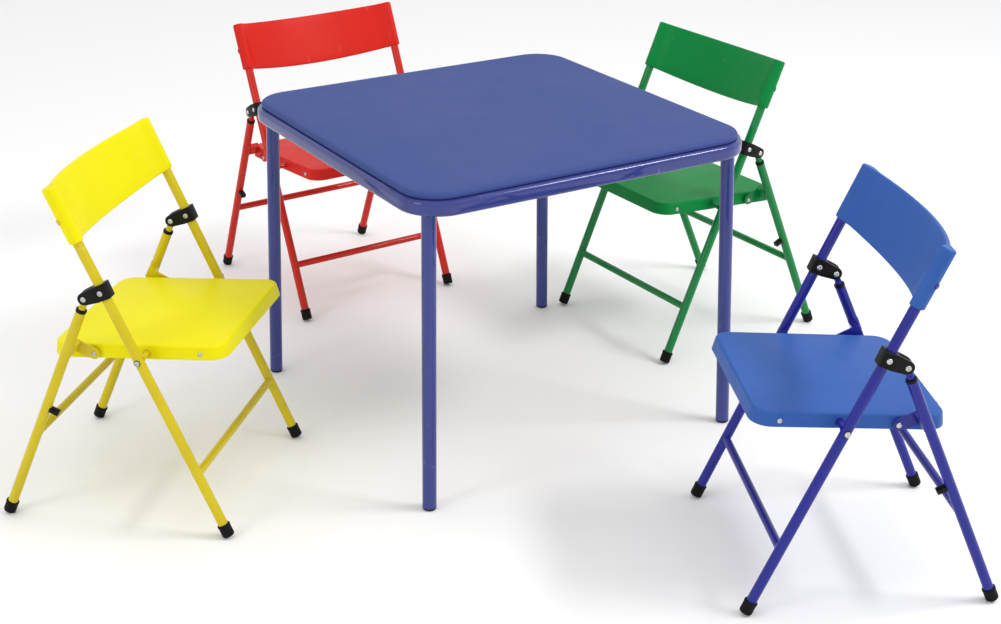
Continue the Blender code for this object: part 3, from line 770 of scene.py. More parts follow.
# %% [markdown]
# ### The rim
# The rim is a strip of sheet bent into a C: a flange on top for the board to lie on, a rounded outer
# side, and a narrow turned-in lip below. It has real thickness, because the lip and the flange show from
# below. A plate in each corner carries two cheeks, and the leg turns on a pin between them. The hinge
# points come from the leg joints, so the cheeks stand exactly where the legs swing.

# %% Rim
def rim_section():
    high = flange_top - RIM_ROUND
    bottom = rim_bottom + RIM_ROUND
    inside = RIM_ROUND - RIM_WALL
    section = [(RIM_FLANGE, flange_top)] + arc(RIM_ROUND, high, RIM_ROUND, 90, 0)
    section += arc(RIM_ROUND, bottom, RIM_ROUND, 0, -90)
    section += [(RIM_ROUND + RIM_LIP, rim_bottom), (RIM_ROUND + RIM_LIP, rim_bottom + RIM_WALL)]
    section += arc(RIM_ROUND, bottom, inside, -90, 0) + arc(RIM_ROUND, high, inside, 0, 90)
    section.append((RIM_FLANGE, flange_top - RIM_WALL))
    return section


rim_mesh = loft([square_ring(inset, height) for inset, height in rim_section()], closed=True)
show("table_rim_frame", rim_mesh, "table", "table_enamel", ["table_rim"])
print("rim", len(rim_mesh.polygons), "faces")

# %% Corner plates and hinge cheeks
LEG_RADIUS = 0.011
CHEEK_WALL = 0.002
CHEEK_GAP = 0.0006
CHEEK_REACH = 0.013
PLATE_CUT = 0.030
PLATE_GAP = 0.001


def corner_plate():
    """The plate in one corner, drawn about the table's middle and then turned to each of the four."""
    centre = table_half - TABLE_CORNER
    reach = TABLE_CORNER - RIM_WALL - PLATE_GAP
    plan = [(centre + reach, centre - PLATE_CUT)]
    plan += [(centre + reach * math.cos(a), centre + reach * math.sin(a)) for a in quarter(10)]
    plan.append((centre - PLATE_CUT, centre + reach))
    heights = (flange_top - 2 * RIM_WALL, flange_top - RIM_WALL / 2)
    return loft([[Vector((x, y, z)) for x, y in plan] for z in heights])


def cheek(hinge, side):
    """One ear of a leg's hinge, with a round end below the pin, in the frame of its own corner."""
    near = side * (LEG_RADIUS + CHEEK_GAP)
    top = flange_top - RIM_WALL
    outline = [(hinge.x + CHEEK_REACH, top), (hinge.x - CHEEK_REACH, top)]
    radius = CHEEK_REACH * 0.55
    outline += [(hinge.x - radius * math.cos(a), hinge.z - radius * math.sin(a)) for a in quarter(8)]
    outline += [(hinge.x + radius * math.sin(a), hinge.z - radius * math.cos(a)) for a in quarter(8)[1:]]
    shape = plate(outline, near, near + side * CHEEK_WALL, 0.0003)
    return moved(shape, Matrix.Translation((0, hinge.y, 0)))


corner_names = ("back_right", "back_left", "front_left", "front_right")
first_hinge = Vector(joints["table_leg_back_right_fold"]["pos_m"]) - Vector((MIDDLE.x, MIDDLE.y, 0))
corner_mesh = welded(corner_plate(), cheek(first_hinge, 1), cheek(first_hinge, -1))
to_table = Matrix.Translation((MIDDLE.x, MIDDLE.y, 0))
corner_turns = [to_table @ Matrix.Rotation(math.pi / 2 * k, 4, "Z") for k in range(4)]
plates_mesh = together([moved(corner_mesh, turn) for turn in corner_turns])
show("table_corner_plates", plates_mesh, "table", "table_enamel")
print("corner plates", len(plates_mesh.polygons), "faces")

# %% [markdown]
# ### The legs
# Each leg is one straight tube with a dark glide in its end. It leans outwards by less than two degrees.
# The lean could be guessed, but it is read from the joint: the pin is square to the leg and to the way it
# folds. One leg is drawn in its corner and turned to the other three.

# %% Legs, glides and hinge pins
LEG_ABOVE = 0.007
LEG_WALL = 0.0015
GLIDE_HEIGHT = 0.0035
GLIDE_INSIDE = 0.012
PIN_RADIUS = 0.003
PIN_END = 0.001
leg_axis = Vector(joints["table_leg_back_right_fold"]["axis"])
LEG_SPLAY = math.tan(math.asin(abs(leg_axis.z)))
leg_down = Vector((LEG_SPLAY, LEG_SPLAY, -1)).normalized()
leg_start = first_hinge - leg_down * LEG_ABOVE
leg_length = leg_start.z / -leg_down.z
sole_lift = LEG_RADIUS * math.sqrt(1 - leg_down.z**2)
leg_mesh = tube(leg_start, leg_start + leg_down * (leg_length - GLIDE_HEIGHT), LEG_RADIUS, LEG_WALL)
glide_mesh = turned(leg_start, leg_down,
                    eased(LEG_RADIUS - 0.0002, leg_length - GLIDE_INSIDE, leg_length - sole_lift, 0.0016))
pin_half = LEG_RADIUS + CHEEK_GAP + CHEEK_WALL + PIN_END
pin_mesh = turned(first_hinge - leg_axis * pin_half, leg_axis, eased(PIN_RADIUS, 0, 2 * pin_half, 0.0006))
for name, turn in zip(corner_names, corner_turns):
    body = "leg_" + name
    show("leg_tube_" + name, moved(leg_mesh, turn), body, "table_enamel", ["table_leg_" + name])
    show("leg_glide_" + name, moved(glide_mesh, turn), body, "foot_rubber")
    show("leg_pin_" + name, moved(pin_mesh, turn), body, "steel")
print("leg", round(leg_length, 4), "m long")

# %% [markdown]
# ## A chair
# One chair is drawn in its own frame and copied to the four places. Its side view is an X: the post, from
# the front foot to the top of the back, and the rear leg, which hangs from a bracket on the post. The
# sizes below are the chair's own, and the pivots were read from the joints above.

# %% The chair's sizes
TUBE = 0.0075
TUBE_WALL = 0.00125
BAR = 0.0063
WELD = 0.0009
FRONT_BAR_AT = 0.110
REAR_BAR_FROM_PIVOT = 0.249
REAR_TUBE_FROM_PIVOT = 0.025
POST_LENGTH = 0.5805
BACK_HEIGHT = 0.087
BACKREST_FROM = POST_LENGTH - BACK_HEIGHT
SLEEVE = TUBE + GAP + 0.0035
FOOT = TUBE + GAP + 0.0015
FOOT_LENGTH = 0.0195
FOOT_FLOOR = 0.0045
FORWARD_OF_LEG = ASIDE.cross(UP_LEG)
SEAT_TILT = math.radians(4.0)
SEAT_ALONG = Vector((math.cos(SEAT_TILT), 0, math.sin(SEAT_TILT)))
SEAT_UP = Vector((-math.sin(SEAT_TILT), 0, math.cos(SEAT_TILT)))
LUG_CRANK = 0.080
LUG_RIVET = SEAT_PIVOT - SEAT_ALONG * LUG_CRANK
BRACKET_AT = ROD_PIVOT.dot(UP_POST)
print("bracket", round(BRACKET_AT, 4), "m up the post, seat pivot", round(SEAT_PIVOT.length, 4), "m up it")


# %% Crossbars and their welds
def on_left(point):
    """A point of the side view, moved out to the left tube."""
    return point + ASIDE * HALF_TRACK


def foot_lift(along):
    """How far up its leaning tube a square-cut foot sits, for its lowest edge to touch the floor."""
    return FOOT * math.sqrt(1 - along.z**2) / along.z


def crossbar(bar_middle, tube_direction):
    """A bar between the two tubes, flared at each end into the round of the tube as a weld is."""
    edge = HALF_TRACK - TUBE
    flare = [(BAR + WELD - WELD * math.sin(a), edge - WELD + WELD * math.cos(a)) for a in quarter()]
    half = [(BAR + WELD, edge + TUBE * 0.45)] + flare
    profile = half + [(radius, -distance) for radius, distance in reversed(half)]
    mesh = turned(bar_middle, ASIDE, profile)
    forward = tube_direction.cross(ASIDE).normalized()
    for vertex in mesh.vertices:
        across = abs((vertex.co - bar_middle).dot(forward))
        if abs(vertex.co.y) > edge - WELD * 0.9:
            sink = TUBE - math.sqrt(max(TUBE**2 - across**2, 0))
            vertex.co.y += math.copysign(sink * 0.8, vertex.co.y)
    return mesh


print("a weld stands", WELD * 1000, "mm proud of its bar")

# %% [markdown]
# ### The two frames
# The front frame is two tubes with a crossbar near the floor. The rear frame is shorter. Its tubes are
# open at the top, where a thinner rod slides out as the chair folds, and each carries a lug: a band round
# its inner half, a web, and a flat ear that reaches forward to the seat. Extra rings in the tubes keep
# the long thin faces that a Boolean leaves close to the weld, so the rest of a tube stays evenly round.

# %% Front frame
POST_INSIDE_SLEEVE = 0.004
STOP_BY_BAR = 0.012
front_bottom = UP_POST * (FOOT_FLOOR + foot_lift(UP_POST))
front_top = UP_POST * (POST_LENGTH - POST_INSIDE_SLEEVE)
bar_stops = [FRONT_BAR_AT - front_bottom.length + offset for offset in (-STOP_BY_BAR, STOP_BY_BAR)]
left_post = tube(on_left(front_bottom), on_left(front_top), TUBE, TUBE_WALL, bar_stops)
front_mesh = welded(left_post, to_right(left_post), crossbar(UP_POST * FRONT_BAR_AT, UP_POST))
print("front frame", len(front_mesh.polygons), "faces")

# %% Lug
LUG_GAP = 0.0025
LUG_PLATE = 0.003
LUG_TIP = 0.0085
LUG_ROOT = 0.0098
LUG_SINK = 0.002
WEB_BEHIND = 0.0035
WEB_AHEAD = 0.008
BAND_HALF = 0.011
BAND_INWARDS = 0.0013
BAND_PROUD = 0.0005
SEAT_HALF_WIDTH = HALF_TRACK - TUBE - 0.0195


lug_on_tube = ROD_PIVOT + UP_LEG * (LUG_RIVET - ROD_PIVOT).dot(UP_LEG)


def lug():
    """The left lug's band, web and ear. The band is off centre, so only its inner half stands proud."""
    forward = (LUG_RIVET - lug_on_tube).normalized()
    outline = [lug_on_tube + UP_LEG * u * LUG_ROOT - forward * LUG_SINK for u in (1, -1)]
    for step in range(13):
        a = math.pi * (step / 12 - 0.5)
        outline.append(LUG_RIVET + LUG_TIP * (forward * math.cos(a) + UP_LEG * math.sin(a)))
    near = SEAT_HALF_WIDTH + LUG_GAP
    ear = plate(side_view(outline), near, near + LUG_PLATE, 0.0007)
    corners = ((1, -WEB_BEHIND), (-1, -WEB_BEHIND), (-1, WEB_AHEAD), (1, WEB_AHEAD))
    web_outline = [lug_on_tube + UP_LEG * u * LUG_TIP + forward * f for u, f in corners]
    web = plate(side_view(web_outline), near + 0.001, HALF_TRACK - TUBE * 0.7, 0.0005)
    band_start = on_left(lug_on_tube - UP_LEG * BAND_HALF) - ASIDE * BAND_INWARDS
    band = turned(band_start, UP_LEG, eased(TUBE + BAND_PROUD, 0, 2 * BAND_HALF, 0.0010))
    return band, web, ear


print("lug", round((ROD_PIVOT - lug_on_tube).length, 4), "m below the bracket's pivot")

# %% Rear frame
STOP_BY_LUG = 0.014
BORE_DEPTH = 0.12
BORE_ABOVE = 0.01
rear_bottom = REAR_FOOT + UP_LEG * (FOOT_FLOOR + foot_lift(UP_LEG))
rear_top = ROD_PIVOT - UP_LEG * REAR_TUBE_FROM_PIVOT
rear_bar = ROD_PIVOT - UP_LEG * REAR_BAR_FROM_PIVOT
rear_stops = [(point - rear_bottom).dot(UP_LEG) + offset
              for point in (rear_bar, lug_on_tube) for offset in (-STOP_BY_LUG, STOP_BY_LUG)]
left_rear = tube(on_left(rear_bottom), on_left(rear_top), TUBE, TUBE_WALL, rear_stops)
bore = turned(on_left(rear_top), -UP_LEG, [(TUBE - TUBE_WALL, -BORE_ABOVE), (TUBE - TUBE_WALL, BORE_DEPTH)])
left_rear = pierced(welded(left_rear, *lug()), bore)
rear_mesh = welded(left_rear, to_right(left_rear), crossbar(rear_bar, UP_LEG))
print("rear frame", len(rear_mesh.polygons), "faces")

# %% [markdown]
# ### Slide rod, collar and bumper
# The slide rod has a flattened eye at its top, which turns in the bracket's fork. A collar of black nylon
# closes the mouth of the tube round it. A small black bumper stands on the front of each rear leg, just
# above the place where the front crossbar comes to lie, and keeps the two from knocking together as the
# chair folds. That place isn't measured by eye: it follows from how far the rod slides.

# %% Slide rod and collar
ROD = 0.00505
ROD_EYE = 0.0072
ROD_EYE_WIDTH = 0.0070
ROD_NECK = 0.0155
ROD_LENGTH = 0.150
half_eye = ASIDE * ROD_EYE_WIDTH / 2
eye = turned(on_left(ROD_PIVOT) - half_eye, ASIDE, eased(ROD_EYE, 0, ROD_EYE_WIDTH, 0.0008))
side_step = FORWARD_OF_LEG * (ROD - 0.0006)
neck_points = [ROD_PIVOT + side_step, ROD_PIVOT - side_step]
neck_points += [point - UP_LEG * (ROD_NECK + ROD) for point in reversed(neck_points)]
neck = plate(side_view(neck_points), HALF_TRACK - half_eye.y, HALF_TRACK + half_eye.y)
shaft = turned(on_left(ROD_PIVOT), -UP_LEG, eased(ROD, ROD_NECK, ROD_LENGTH, 0.0015))
rod_mesh = welded(eye, neck, shaft)
collar_profile = ring_profile(TUBE + 0.0004, ROD + GAP, -0.0012, 0.0042, 0.0011)
collar_mesh = turned(on_left(rear_top), UP_LEG, collar_profile, closed=True)
print("slide rod", len(rod_mesh.polygons), "faces, collar", len(collar_mesh.polygons))

# %% Bumper
HOLE_HALF = 0.03


def tube_hole(middle, along):
    """The tool that bores a snug hole for a tube through a clamp or a bracket."""
    hole = TUBE + 0.0001
    return turned(middle - along * HOLE_HALF, along, [(hole, 0), (hole, 2 * HOLE_HALF)])


slide_range = joints["yellow_rods_slide"]["range_m"][1]
BUMPER_REACH = 0.0204
BUMPER_HALF_HEIGHT = 0.0038
BUMPER_HALF_WIDTH = 0.0048
BUMPER_ABOVE_BAR = 0.006
bumper_at = ROD_PIVOT - UP_LEG * (BRACKET_AT - FRONT_BAR_AT - slide_range - BUMPER_ABOVE_BAR)
bumper_corners = ((TUBE * 0.5, -1), (BUMPER_REACH, -1), (BUMPER_REACH, 1), (TUBE * 0.5, 1))
half_up = UP_LEG * BUMPER_HALF_HEIGHT
bumper_outline = side_view([bumper_at + FORWARD_OF_LEG * f + half_up * u for f, u in bumper_corners])
bumper_block = plate(bumper_outline, HALF_TRACK - BUMPER_HALF_WIDTH, HALF_TRACK + BUMPER_HALF_WIDTH)
bumper_mesh = pierced(bumper_block, tube_hole(on_left(bumper_at), UP_LEG))
print("the rod slides out", round(slide_range, 4), "m, bumper", len(bumper_mesh.polygons), "faces")

# %% [markdown]
# ### The bracket
# The bracket is one nylon moulding with square shoulders on the post and a round lobe behind. It could be
# built of blocks and discs, but they would show their joints. One outline cut from thick plate has none.
# Its fork is sawn out after the edges are rounded, so the fork's own edges stay crisp, as they are where
# a mould closes.

# %% Bracket
BRACKET_HALF_HEIGHT = 0.0115
BRACKET_FRONT = TUBE + GAP + 0.0032
BRACKET_HALF_WIDTH = TUBE + GAP + 0.0024
BRACKET_LOBE = 0.0092
BRACKET_TAPER = 0.0008
post_middle = UP_POST * BRACKET_AT


def bracket_outline():
    """Two square shoulders in front of the post, and a round lobe behind it about the rod's pivot."""
    shoulder = UP_POST * BRACKET_HALF_HEIGHT
    front = [post_middle - shoulder - BEHIND_POST * (BRACKET_FRONT - BRACKET_TAPER),
             post_middle + shoulder - BEHIND_POST * BRACKET_FRONT]
    back = [post_middle + shoulder + BEHIND_POST * BRACKET_FRONT * 0.7]
    for step in range(17):
        a = math.pi * (0.5 - step / 16)
        back.append(ROD_PIVOT + BRACKET_LOBE * (BEHIND_POST * math.cos(a) + UP_POST * math.sin(a)))
    back.append(post_middle - shoulder + BEHIND_POST * BRACKET_FRONT * 0.7)
    return side_view(front + back)


saddle = plate(bracket_outline(), HALF_TRACK - BRACKET_HALF_WIDTH, HALF_TRACK + BRACKET_HALF_WIDTH, 0.0010)
post_bore = tube_hole(on_left(post_middle), UP_POST)
fork_from = BRACKET_FRONT + 0.0005
fork_corners = ((-1, fork_from), (1, fork_from), (1, 0.06), (-1, 0.06))
fork_points = [post_middle + UP_POST * u * 0.03 + BEHIND_POST * b for u, b in fork_corners]
fork_half = ROD_EYE_WIDTH / 2 + 0.0006
fork = plate(side_view(fork_points), HALF_TRACK - fork_half, HALF_TRACK + fork_half, 0.0001)
bracket_mesh = pierced(saddle, post_bore, fork)
print("bracket", len(bracket_mesh.polygons), "faces")

# %% [markdown]
# ### Rivets
# Every rivet is the same tubular kind: a shallow dome with a dimple where the tool rolled it over. A bump
# in the material could fake the dimple, but it would vanish from the side. Drawing it in mesh gives each
# head the small ring of light that marks a rivet from a dot of paint.


# %% Rivets
DOME = ((1, 0.25), (0.93, 0.55), (0.74, 0.86), (0.55, 1), (0.42, 0.94), (0.34, 0.55), (0.16, 0.45))
RIVET_SIDES = 24


def rivet_head(seat_point, outward, radius=0.0042, height=0.0017, sunk=0.0012):
    """A head on its seat point. The dome is given as shares of its radius and its height."""
    profile = [(radius, -sunk)] + [(radius * across, height * up) for across, up in DOME]
    return turned(seat_point, outward, profile, RIVET_SIDES)


bracket_faces = []
for side in (1, -1):
    face = ASIDE * (HALF_TRACK + side * BRACKET_HALF_WIDTH)
    for point in (post_middle, ROD_PIVOT):
        bracket_faces.append(rivet_head(point + face, ASIDE * side))
bracket_rivets = both_sides(bracket_faces)

ear_face = ASIDE * (SEAT_HALF_WIDTH + LUG_GAP + LUG_PLATE)
lug_rivets = both_sides([rivet_head(LUG_RIVET + ear_face, ASIDE, 0.0040)])
print(2 * len(bracket_faces), "rivets on a chair's brackets, 2 on its lugs")

# %% [markdown]
# ### The seat
# The seat is a shallow tray turned upside down: a flat face, a soft shoulder, and a skirt that leans out
# by three millimetres towards its hem so that it leaves the mould. Subdividing a coarse box would round
# the corners and the shoulder by one amount. Rings of a rounded rectangle keep the two apart, as the
# mould does. Ribs beneath keep the thin face from drumming.

# %% The seat's tray
SEAT_FRONT = 0.119
SEAT_REAR = 0.153
SEAT_TOP = 0.012
SEAT_HEIGHT = 0.0205
SEAT_WALL = 0.003
SEAT_CORNER = 0.028
SEAT_ROUND = 0.004
SEAT_DRAFT = 0.003
HEM_ROUND = 0.0008


def seat_ring(inset, height):
    """A rounded rectangle in the seat's own plane, x forward from the pivot."""
    radius = SEAT_CORNER - inset
    high = (SEAT_FRONT - inset - radius, SEAT_HALF_WIDTH - inset - radius)
    low = (-SEAT_REAR + inset + radius, -SEAT_HALF_WIDTH + inset + radius)
    centres = ((high[0], high[1]), (low[0], high[1]), (low[0], low[1]), (high[0], low[1]))
    ring = []
    for corner, (cx, cy) in enumerate(centres):
        for angle in quarter(10):
            turn = angle + corner * math.pi / 2
            ring.append(Vector((cx + radius * math.cos(turn), cy + radius * math.sin(turn), height)))
    return ring


def seat_tray():
    """The skin from inside the skirt, round the hem, up the skirt and over the shoulder, then the face."""
    hem = SEAT_TOP - SEAT_HEIGHT
    shoulder = SEAT_TOP - SEAT_ROUND
    inner_round = SEAT_ROUND - 0.001
    section = [(SEAT_WALL, hem), (HEM_ROUND, hem)]
    section += arc(HEM_ROUND, hem + HEM_ROUND, HEM_ROUND, -90, 0, 3)[1:]
    section += arc(SEAT_DRAFT + SEAT_ROUND, shoulder, SEAT_ROUND, 0, 90)
    inner_at = SEAT_WALL + inner_round
    inside = arc(SEAT_DRAFT + inner_at, SEAT_TOP - inner_at, inner_round, 90, 0, 3)
    return loft([seat_ring(inset, height) for inset, height in inside + section])


print("seat", round(SEAT_FRONT + SEAT_REAR, 3), "by", round(2 * SEAT_HALF_WIDTH, 3), "m")


# %% Its ribs and bosses
def block(low, high):
    """A plain bar between two corners, for the ribs hidden under the face."""
    corners = [(low[0], low[1]), (high[0], low[1]), (high[0], high[1]), (low[0], high[1])]
    return loft([[Vector((x, y, z)) for x, y in corners] for z in (low[2], high[2])])


RIB = 0.0011
RIB_DROP = 0.0125
RIBS_ACROSS = (-0.112, -0.056, 0.036, 0.082)
RIBS_ALONG = (-0.088, -0.03, 0.03, 0.088)
BOSS = 0.0075
BOSS_LENGTH = 0.015
RIVET_BOSS = 0.0055
RIVET_BOSS_LENGTH = 0.011
SKIRT_RIVET_AHEAD = 0.082
ROD_HOLE = 0.0033
rib_top = SEAT_TOP - SEAT_WALL / 2
rib_low = SEAT_TOP - SEAT_WALL - RIB_DROP
rib_reach = SEAT_HALF_WIDTH - SEAT_WALL
rib_rear, rib_front = -SEAT_REAR + SEAT_WALL, SEAT_FRONT - SEAT_WALL
ribs = [block((x - RIB, -rib_reach, rib_low), (x + RIB, rib_reach, rib_top)) for x in RIBS_ACROSS]
ribs += [block((rib_rear, y - RIB, rib_low), (rib_front, y + RIB, rib_top)) for y in RIBS_ALONG]
boss_sizes = ((0, 0, BOSS, BOSS_LENGTH), (SKIRT_RIVET_AHEAD, 0.0015, RIVET_BOSS, RIVET_BOSS_LENGTH))
bosses = []
for ahead, up, radius, length in boss_sizes:
    for side in (1, -1):
        start = Vector((ahead, side * (rib_reach - length + 0.001), up))
        bosses.append(turned(start, ASIDE * side, [(radius, 0), (radius, length)]))
rod_hole = turned(-ASIDE * HALF_TRACK, ASIDE, [(ROD_HOLE, 0), (ROD_HOLE, 2 * HALF_TRACK)])
to_seat = Matrix.Translation(SEAT_PIVOT) @ Matrix.Rotation(-SEAT_TILT, 4, "Y")
seat_mesh = moved(pierced(welded(seat_tray(), *ribs, *bosses), rod_hole), to_seat)
print("seat", len(seat_mesh.polygons), "faces")

# %% [markdown]
# ### The seat's pivot
# The seat turns on one steel rod that passes through both posts. A rod drawn straight from end to end
# would show as a bare pin between skirt and post. On the real chair a flanged bush fills that space, a
# washer keeps the paint of the post whole, and a rolled head closes each end. All of them are small
# turned pieces.

# %% Pivot rod, its heads and washers
PIVOT_ROD = 0.003
WASHER = 0.0050
washer_from = HALF_TRACK + TUBE - 0.0002
washer_to = washer_from + 0.0010
left_rod = turned(SEAT_PIVOT, ASIDE, [(PIVOT_ROD, -0.0001), (PIVOT_ROD, washer_to + 0.0006)])
left_head = rivet_head(SEAT_PIVOT + ASIDE * washer_to, ASIDE, 0.0043, 0.0020, -0.0001)
rod_set = both_sides([left_rod, left_head])
washer_profile = ring_profile(WASHER, PIVOT_ROD + 0.0003, washer_from, washer_to, 0.0003)
washers = both_sides([turned(SEAT_PIVOT, ASIDE, washer_profile, closed=True)])
print("rod", round(2 * washer_to, 4), "m between its washers' outer faces")

# %% Spacers
SPACER = 0.0046
INNER_FLANGE = 0.0062
OUTER_FLANGE = 0.0056
skirt_at_pivot = SEAT_HALF_WIDTH - SEAT_DRAFT * 0.5
post_face = HALF_TRACK - TUBE
spacer_from = skirt_at_pivot - 0.0006
spacer_to = post_face + 0.0004
spacer_profile = [
    (INNER_FLANGE, spacer_from),
    (INNER_FLANGE, skirt_at_pivot + 0.0014),
    (SPACER, skirt_at_pivot + 0.0018),
    (SPACER, post_face - 0.002),
    (OUTER_FLANGE, post_face - 0.0016),
    (OUTER_FLANGE, spacer_to),
    (PIVOT_ROD, spacer_to),
    (PIVOT_ROD, spacer_from),
]
spacers = both_sides([turned(SEAT_PIVOT, ASIDE, spacer_profile, closed=True)])
print("spacer", round(spacer_to - spacer_from, 4), "m long")

# %% Rivets of the skirt
skirt_heads = []
for ahead in (SKIRT_RIVET_AHEAD, -LUG_CRANK):
    point = SEAT_PIVOT + SEAT_ALONG * ahead + ASIDE * (SEAT_HALF_WIDTH - SEAT_DRAFT * 0.45)
    skirt_heads.append(rivet_head(point, ASIDE + SEAT_UP * 0.15, 0.0036, 0.0014))
skirt_rivets = both_sides(skirt_heads)
print(2 * len(skirt_heads), "rivets on a skirt")

# %% [markdown]
# ### The back
# The back is one moulding: a bowed strip that swells at each end into a sleeve for the post. A sleeve and
# a strip joined by a Boolean would meet in a sharp crease, where a mould always leaves a fillet. So the
# outline is worked out point by point across the back: round where the sleeve is, flat where the strip
# is, and where the two come within a fillet's reach of each other a little is added. The same loop,
# shrunk and shifted, rounds both ends.

# %% One loop round the back
PANEL = 0.0075
PANEL_BOW = 0.034
PANEL_SWELL = 0.005
PANEL_RISE = 0.0018
BACK_FILLET = 0.0028
BACK_ROUND = 0.0026
BACK_LEVELS = 6
BACK_TOP = POST_LENGTH - 0.0006
SLEEVE_TURN = [math.radians(angle) for angle in range(90, -46, -9)]
PANEL_SHARES = [i / 22 for i in range(-20, 21)]


def half_thickness(y, inset):
    """Half the back's thickness at a place across it: sleeve, strip, or the fillet between them."""
    radius = SLEEVE - inset
    sleeve = math.sqrt(max(radius**2 - (y - HALF_TRACK) ** 2, 0))
    strip = PANEL / 2 - inset if y < HALF_TRACK else 0
    thick = max(sleeve, strip)
    reach = BACK_FILLET - abs(sleeve - strip)
    if reach > 0 and y < HALF_TRACK - radius * 0.3:
        thick += reach**2 / (4 * BACK_FILLET)
    return thick


def back_level(inset, height_share, up_shift):
    """One closed loop round the back's outline, shrunk by inset, at a share of its height."""
    radius = SLEEVE - inset
    sleeve_ys = [HALF_TRACK + radius * math.sin(angle) for angle in SLEEVE_TURN]
    ys = [-y for y in sleeve_ys] + [sleeve_ys[-1] * share for share in PANEL_SHARES] + sleeve_ys[::-1]
    front, back = [], []
    for y in ys:
        hollow = 1 - min(abs(y) / HALF_TRACK, 1) ** 2
        thick = half_thickness(abs(y), inset)
        low = BACKREST_FROM - PANEL_SWELL * hollow
        high = BACK_TOP + PANEL_RISE * hollow
        up = low + (high - low) * height_share + up_shift
        middle = UP_POST * up + BEHIND_POST * PANEL_BOW * hollow + ASIDE * y
        front.append(middle - BEHIND_POST * thick)
        back.append(middle + BEHIND_POST * thick)
    return front + back[::-1]


print("a loop round the back has", len(back_level(0, 0, 0)), "points")


# %% The back's skin
def backrest():
    """Loops from the lower rounded end to the upper, skinned, with a strip of faces over each end."""
    size = BACK_ROUND
    levels = [(size - size * math.sin(a), 0, size - size * math.cos(a)) for a in quarter()]
    levels += [(0, i / BACK_LEVELS, 0) for i in range(1, BACK_LEVELS)]
    levels += [(size - size * math.cos(a), 1, size * math.sin(a) - size) for a in quarter()]
    bm = bmesh.new()
    loops = [[bm.verts.new(point) for point in back_level(*level)] for level in levels]
    count = len(loops[0])
    for first, second in zip(loops, loops[1:]):
        for i in range(count):
            j = (i + 1) % count
            bm.faces.new((first[i], first[j], second[j], second[i]))
    for loop in (loops[0], loops[-1]):
        for i in range(count // 2 - 1):
            bm.faces.new((loop[i], loop[i + 1], loop[count - 2 - i], loop[count - 1 - i]))
    return to_mesh(bm)


back_mesh = backrest()
print("back", len(back_mesh.polygons), "faces")

# %% Screws of the back
SCREW = 0.0042
SCREW_HEIGHT = 0.0024
SCREW_SUNK = 0.001
screw_up = BACKREST_FROM + BACK_HEIGHT * 0.42
screw_out = (BEHIND_POST * 0.75 + ASIDE).normalized()
screw_start = on_left(UP_POST * screw_up) + screw_out * (SLEEVE - SCREW_SUNK)
back_screws = both_sides([turned(screw_start, screw_out, eased(SCREW, 0, SCREW_HEIGHT, 0.0008))])
print("screws", round(screw_up, 4), "m up the post")

# %% [markdown]
# ### Feet
# Each tube ends in a rubber cup pushed over it. The tubes lean but the cups are cut square, so a cup
# stands on the lowest edge of its round sole. That edge has to touch the floor exactly: the cup is drawn
# along the leaning tube, and where its sole begins is worked out from the lean. A bead round the mouth
# grips the tube.


# %% Rubber cups
SOLE_ROUND = 0.0028


def foot(floor_point, along):
    """A rubber cup with a square-cut, well-rounded sole whose lowest edge just touches the floor."""
    sole_round = SOLE_ROUND
    lean = math.sqrt(1 - along.z**2)
    centre = (sole_round + (FOOT - sole_round) * lean) / along.z
    top = FOOT_LENGTH + foot_lift(along)
    corner = FOOT - sole_round
    profile = [(corner + sole_round * math.sin(a), centre - sole_round * math.cos(a)) for a in quarter(6)]
    profile += [(FOOT, top - 0.0045), (FOOT + 0.0004, top - 0.0038), (FOOT + 0.0004, top - 0.0012)]
    profile += [(FOOT - 0.0006, top), (TUBE + 0.0001, top), (TUBE + 0.0001, FOOT_FLOOR + foot_lift(along))]
    return turned(on_left(floor_point), along, profile)


front_foot = foot(Vector((0, 0, 0)), UP_POST)
rear_foot = foot(REAR_FOOT, UP_LEG)
print("foot", len(front_foot.polygons), "faces")

# %% [markdown]
# ## Four chairs
# Every piece now goes to its four places. Linked copies would be lighter, but each chair has its own
# colours and its own bodies to ride on, so each gets its own mesh. A table of rows says what each piece
# is: its name, its mesh, the body it rides on, its finish and the node that it stands for. Left and right
# pieces are two objects, mirrored.

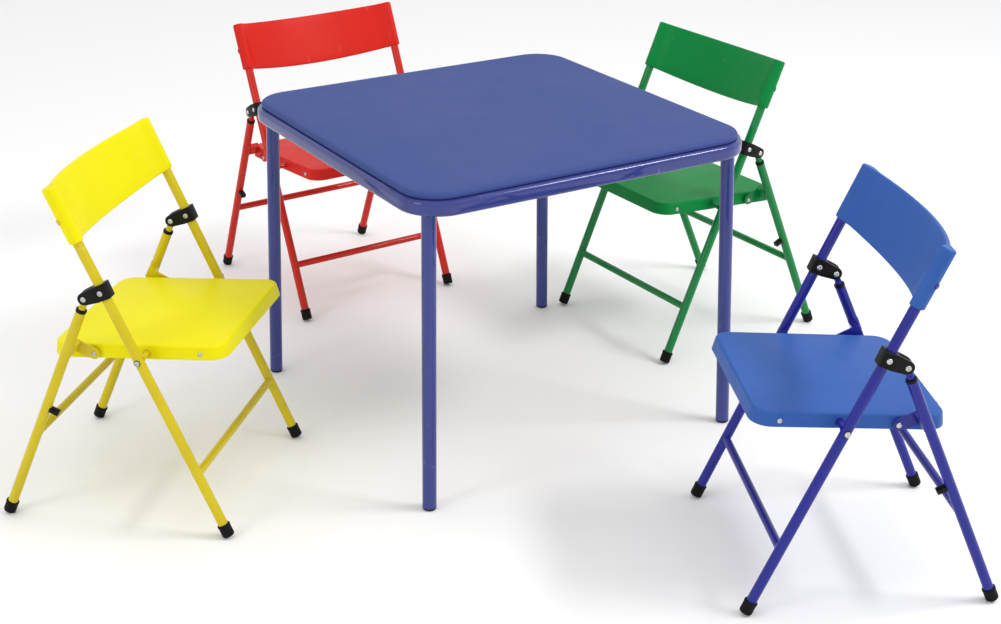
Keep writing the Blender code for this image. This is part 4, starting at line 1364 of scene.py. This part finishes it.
# %% The lists of pieces
SINGLES = (
    ("front_tubes", front_mesh, "front", "enamel", "front_frame"),
    ("rear_tubes", rear_mesh, "rear", "enamel", "rear_frame"),
    ("back_panel", back_mesh, "front", "plastic", "backrest"),
    ("seat_shell", seat_mesh, "seat", "plastic", "seat"),
    ("pivot_rod", rod_set, "seat", "steel", "seat_rod"),
    ("pivot_washers", washers, "front", "black_plastic", None),
    ("pivot_spacers", spacers, "seat", "enamel", None),
    ("bracket_rivets", bracket_rivets, "front", "steel", None),
    ("lug_rivets", lug_rivets, "rear", "steel", None),
    ("skirt_rivets", skirt_rivets, "seat", "steel", None),
    ("back_screws", back_screws, "front", "enamel", None),
)
PAIRS = (
    ("slide_bar", rod_mesh, "rods", "enamel", "slide_rod"),
    ("bracket_saddle", bracket_mesh, "front", "black_plastic", "bracket"),
    ("front_cup", front_foot, "front", "foot_rubber", "front_foot"),
    ("rear_cup", rear_foot, "rear", "foot_rubber", "rear_foot"),
    ("rear_collar", collar_mesh, "rear", "black_plastic", None),
    ("fold_bumper", bumper_mesh, "rear", "black_plastic", None),
)
print(len(SINGLES), "single pieces and", len(PAIRS), "pairs to a chair")


# %% Place every piece
def place_piece(colour, name, mesh, body, finish, stands_for):
    slot = colour + "_" + finish if finish in ("enamel", "plastic") else finish
    nodes = [colour + "_" + stands_for] if stands_for else []
    return show(colour + "_" + name, moved(mesh, PLACES[colour]), colour + "_" + body, slot, nodes)


for colour in COLOURS:
    for name, mesh, body, finish, stands_for in SINGLES:
        place_piece(colour, name, mesh, body, finish, stands_for)
    for name, mesh, body, finish, stands_for in PAIRS:
        for side, shape in (("left", mesh), ("right", to_right(mesh))):
            node_name = stands_for + "_" + side if stands_for else None
            place_piece(colour, name + "_" + side, shape, body, finish, node_name)
print(len(shown), "pieces,", sum(len(piece.data.polygons) for piece in shown), "faces")

# %% [markdown]
# ## The size of the dressed set
# The dressed set has to fit in the same box as its skeleton. Both boxes are written down side by side, so
# that a piece that has grown past the frame shows up as a number.

# %% Sizes
dressed_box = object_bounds()
boxes = {"cad": skeleton_box, "visual": dressed_box}
for name, box in boxes.items():
    print(name, [[round(v, 4) for v in corner] for corner in box])
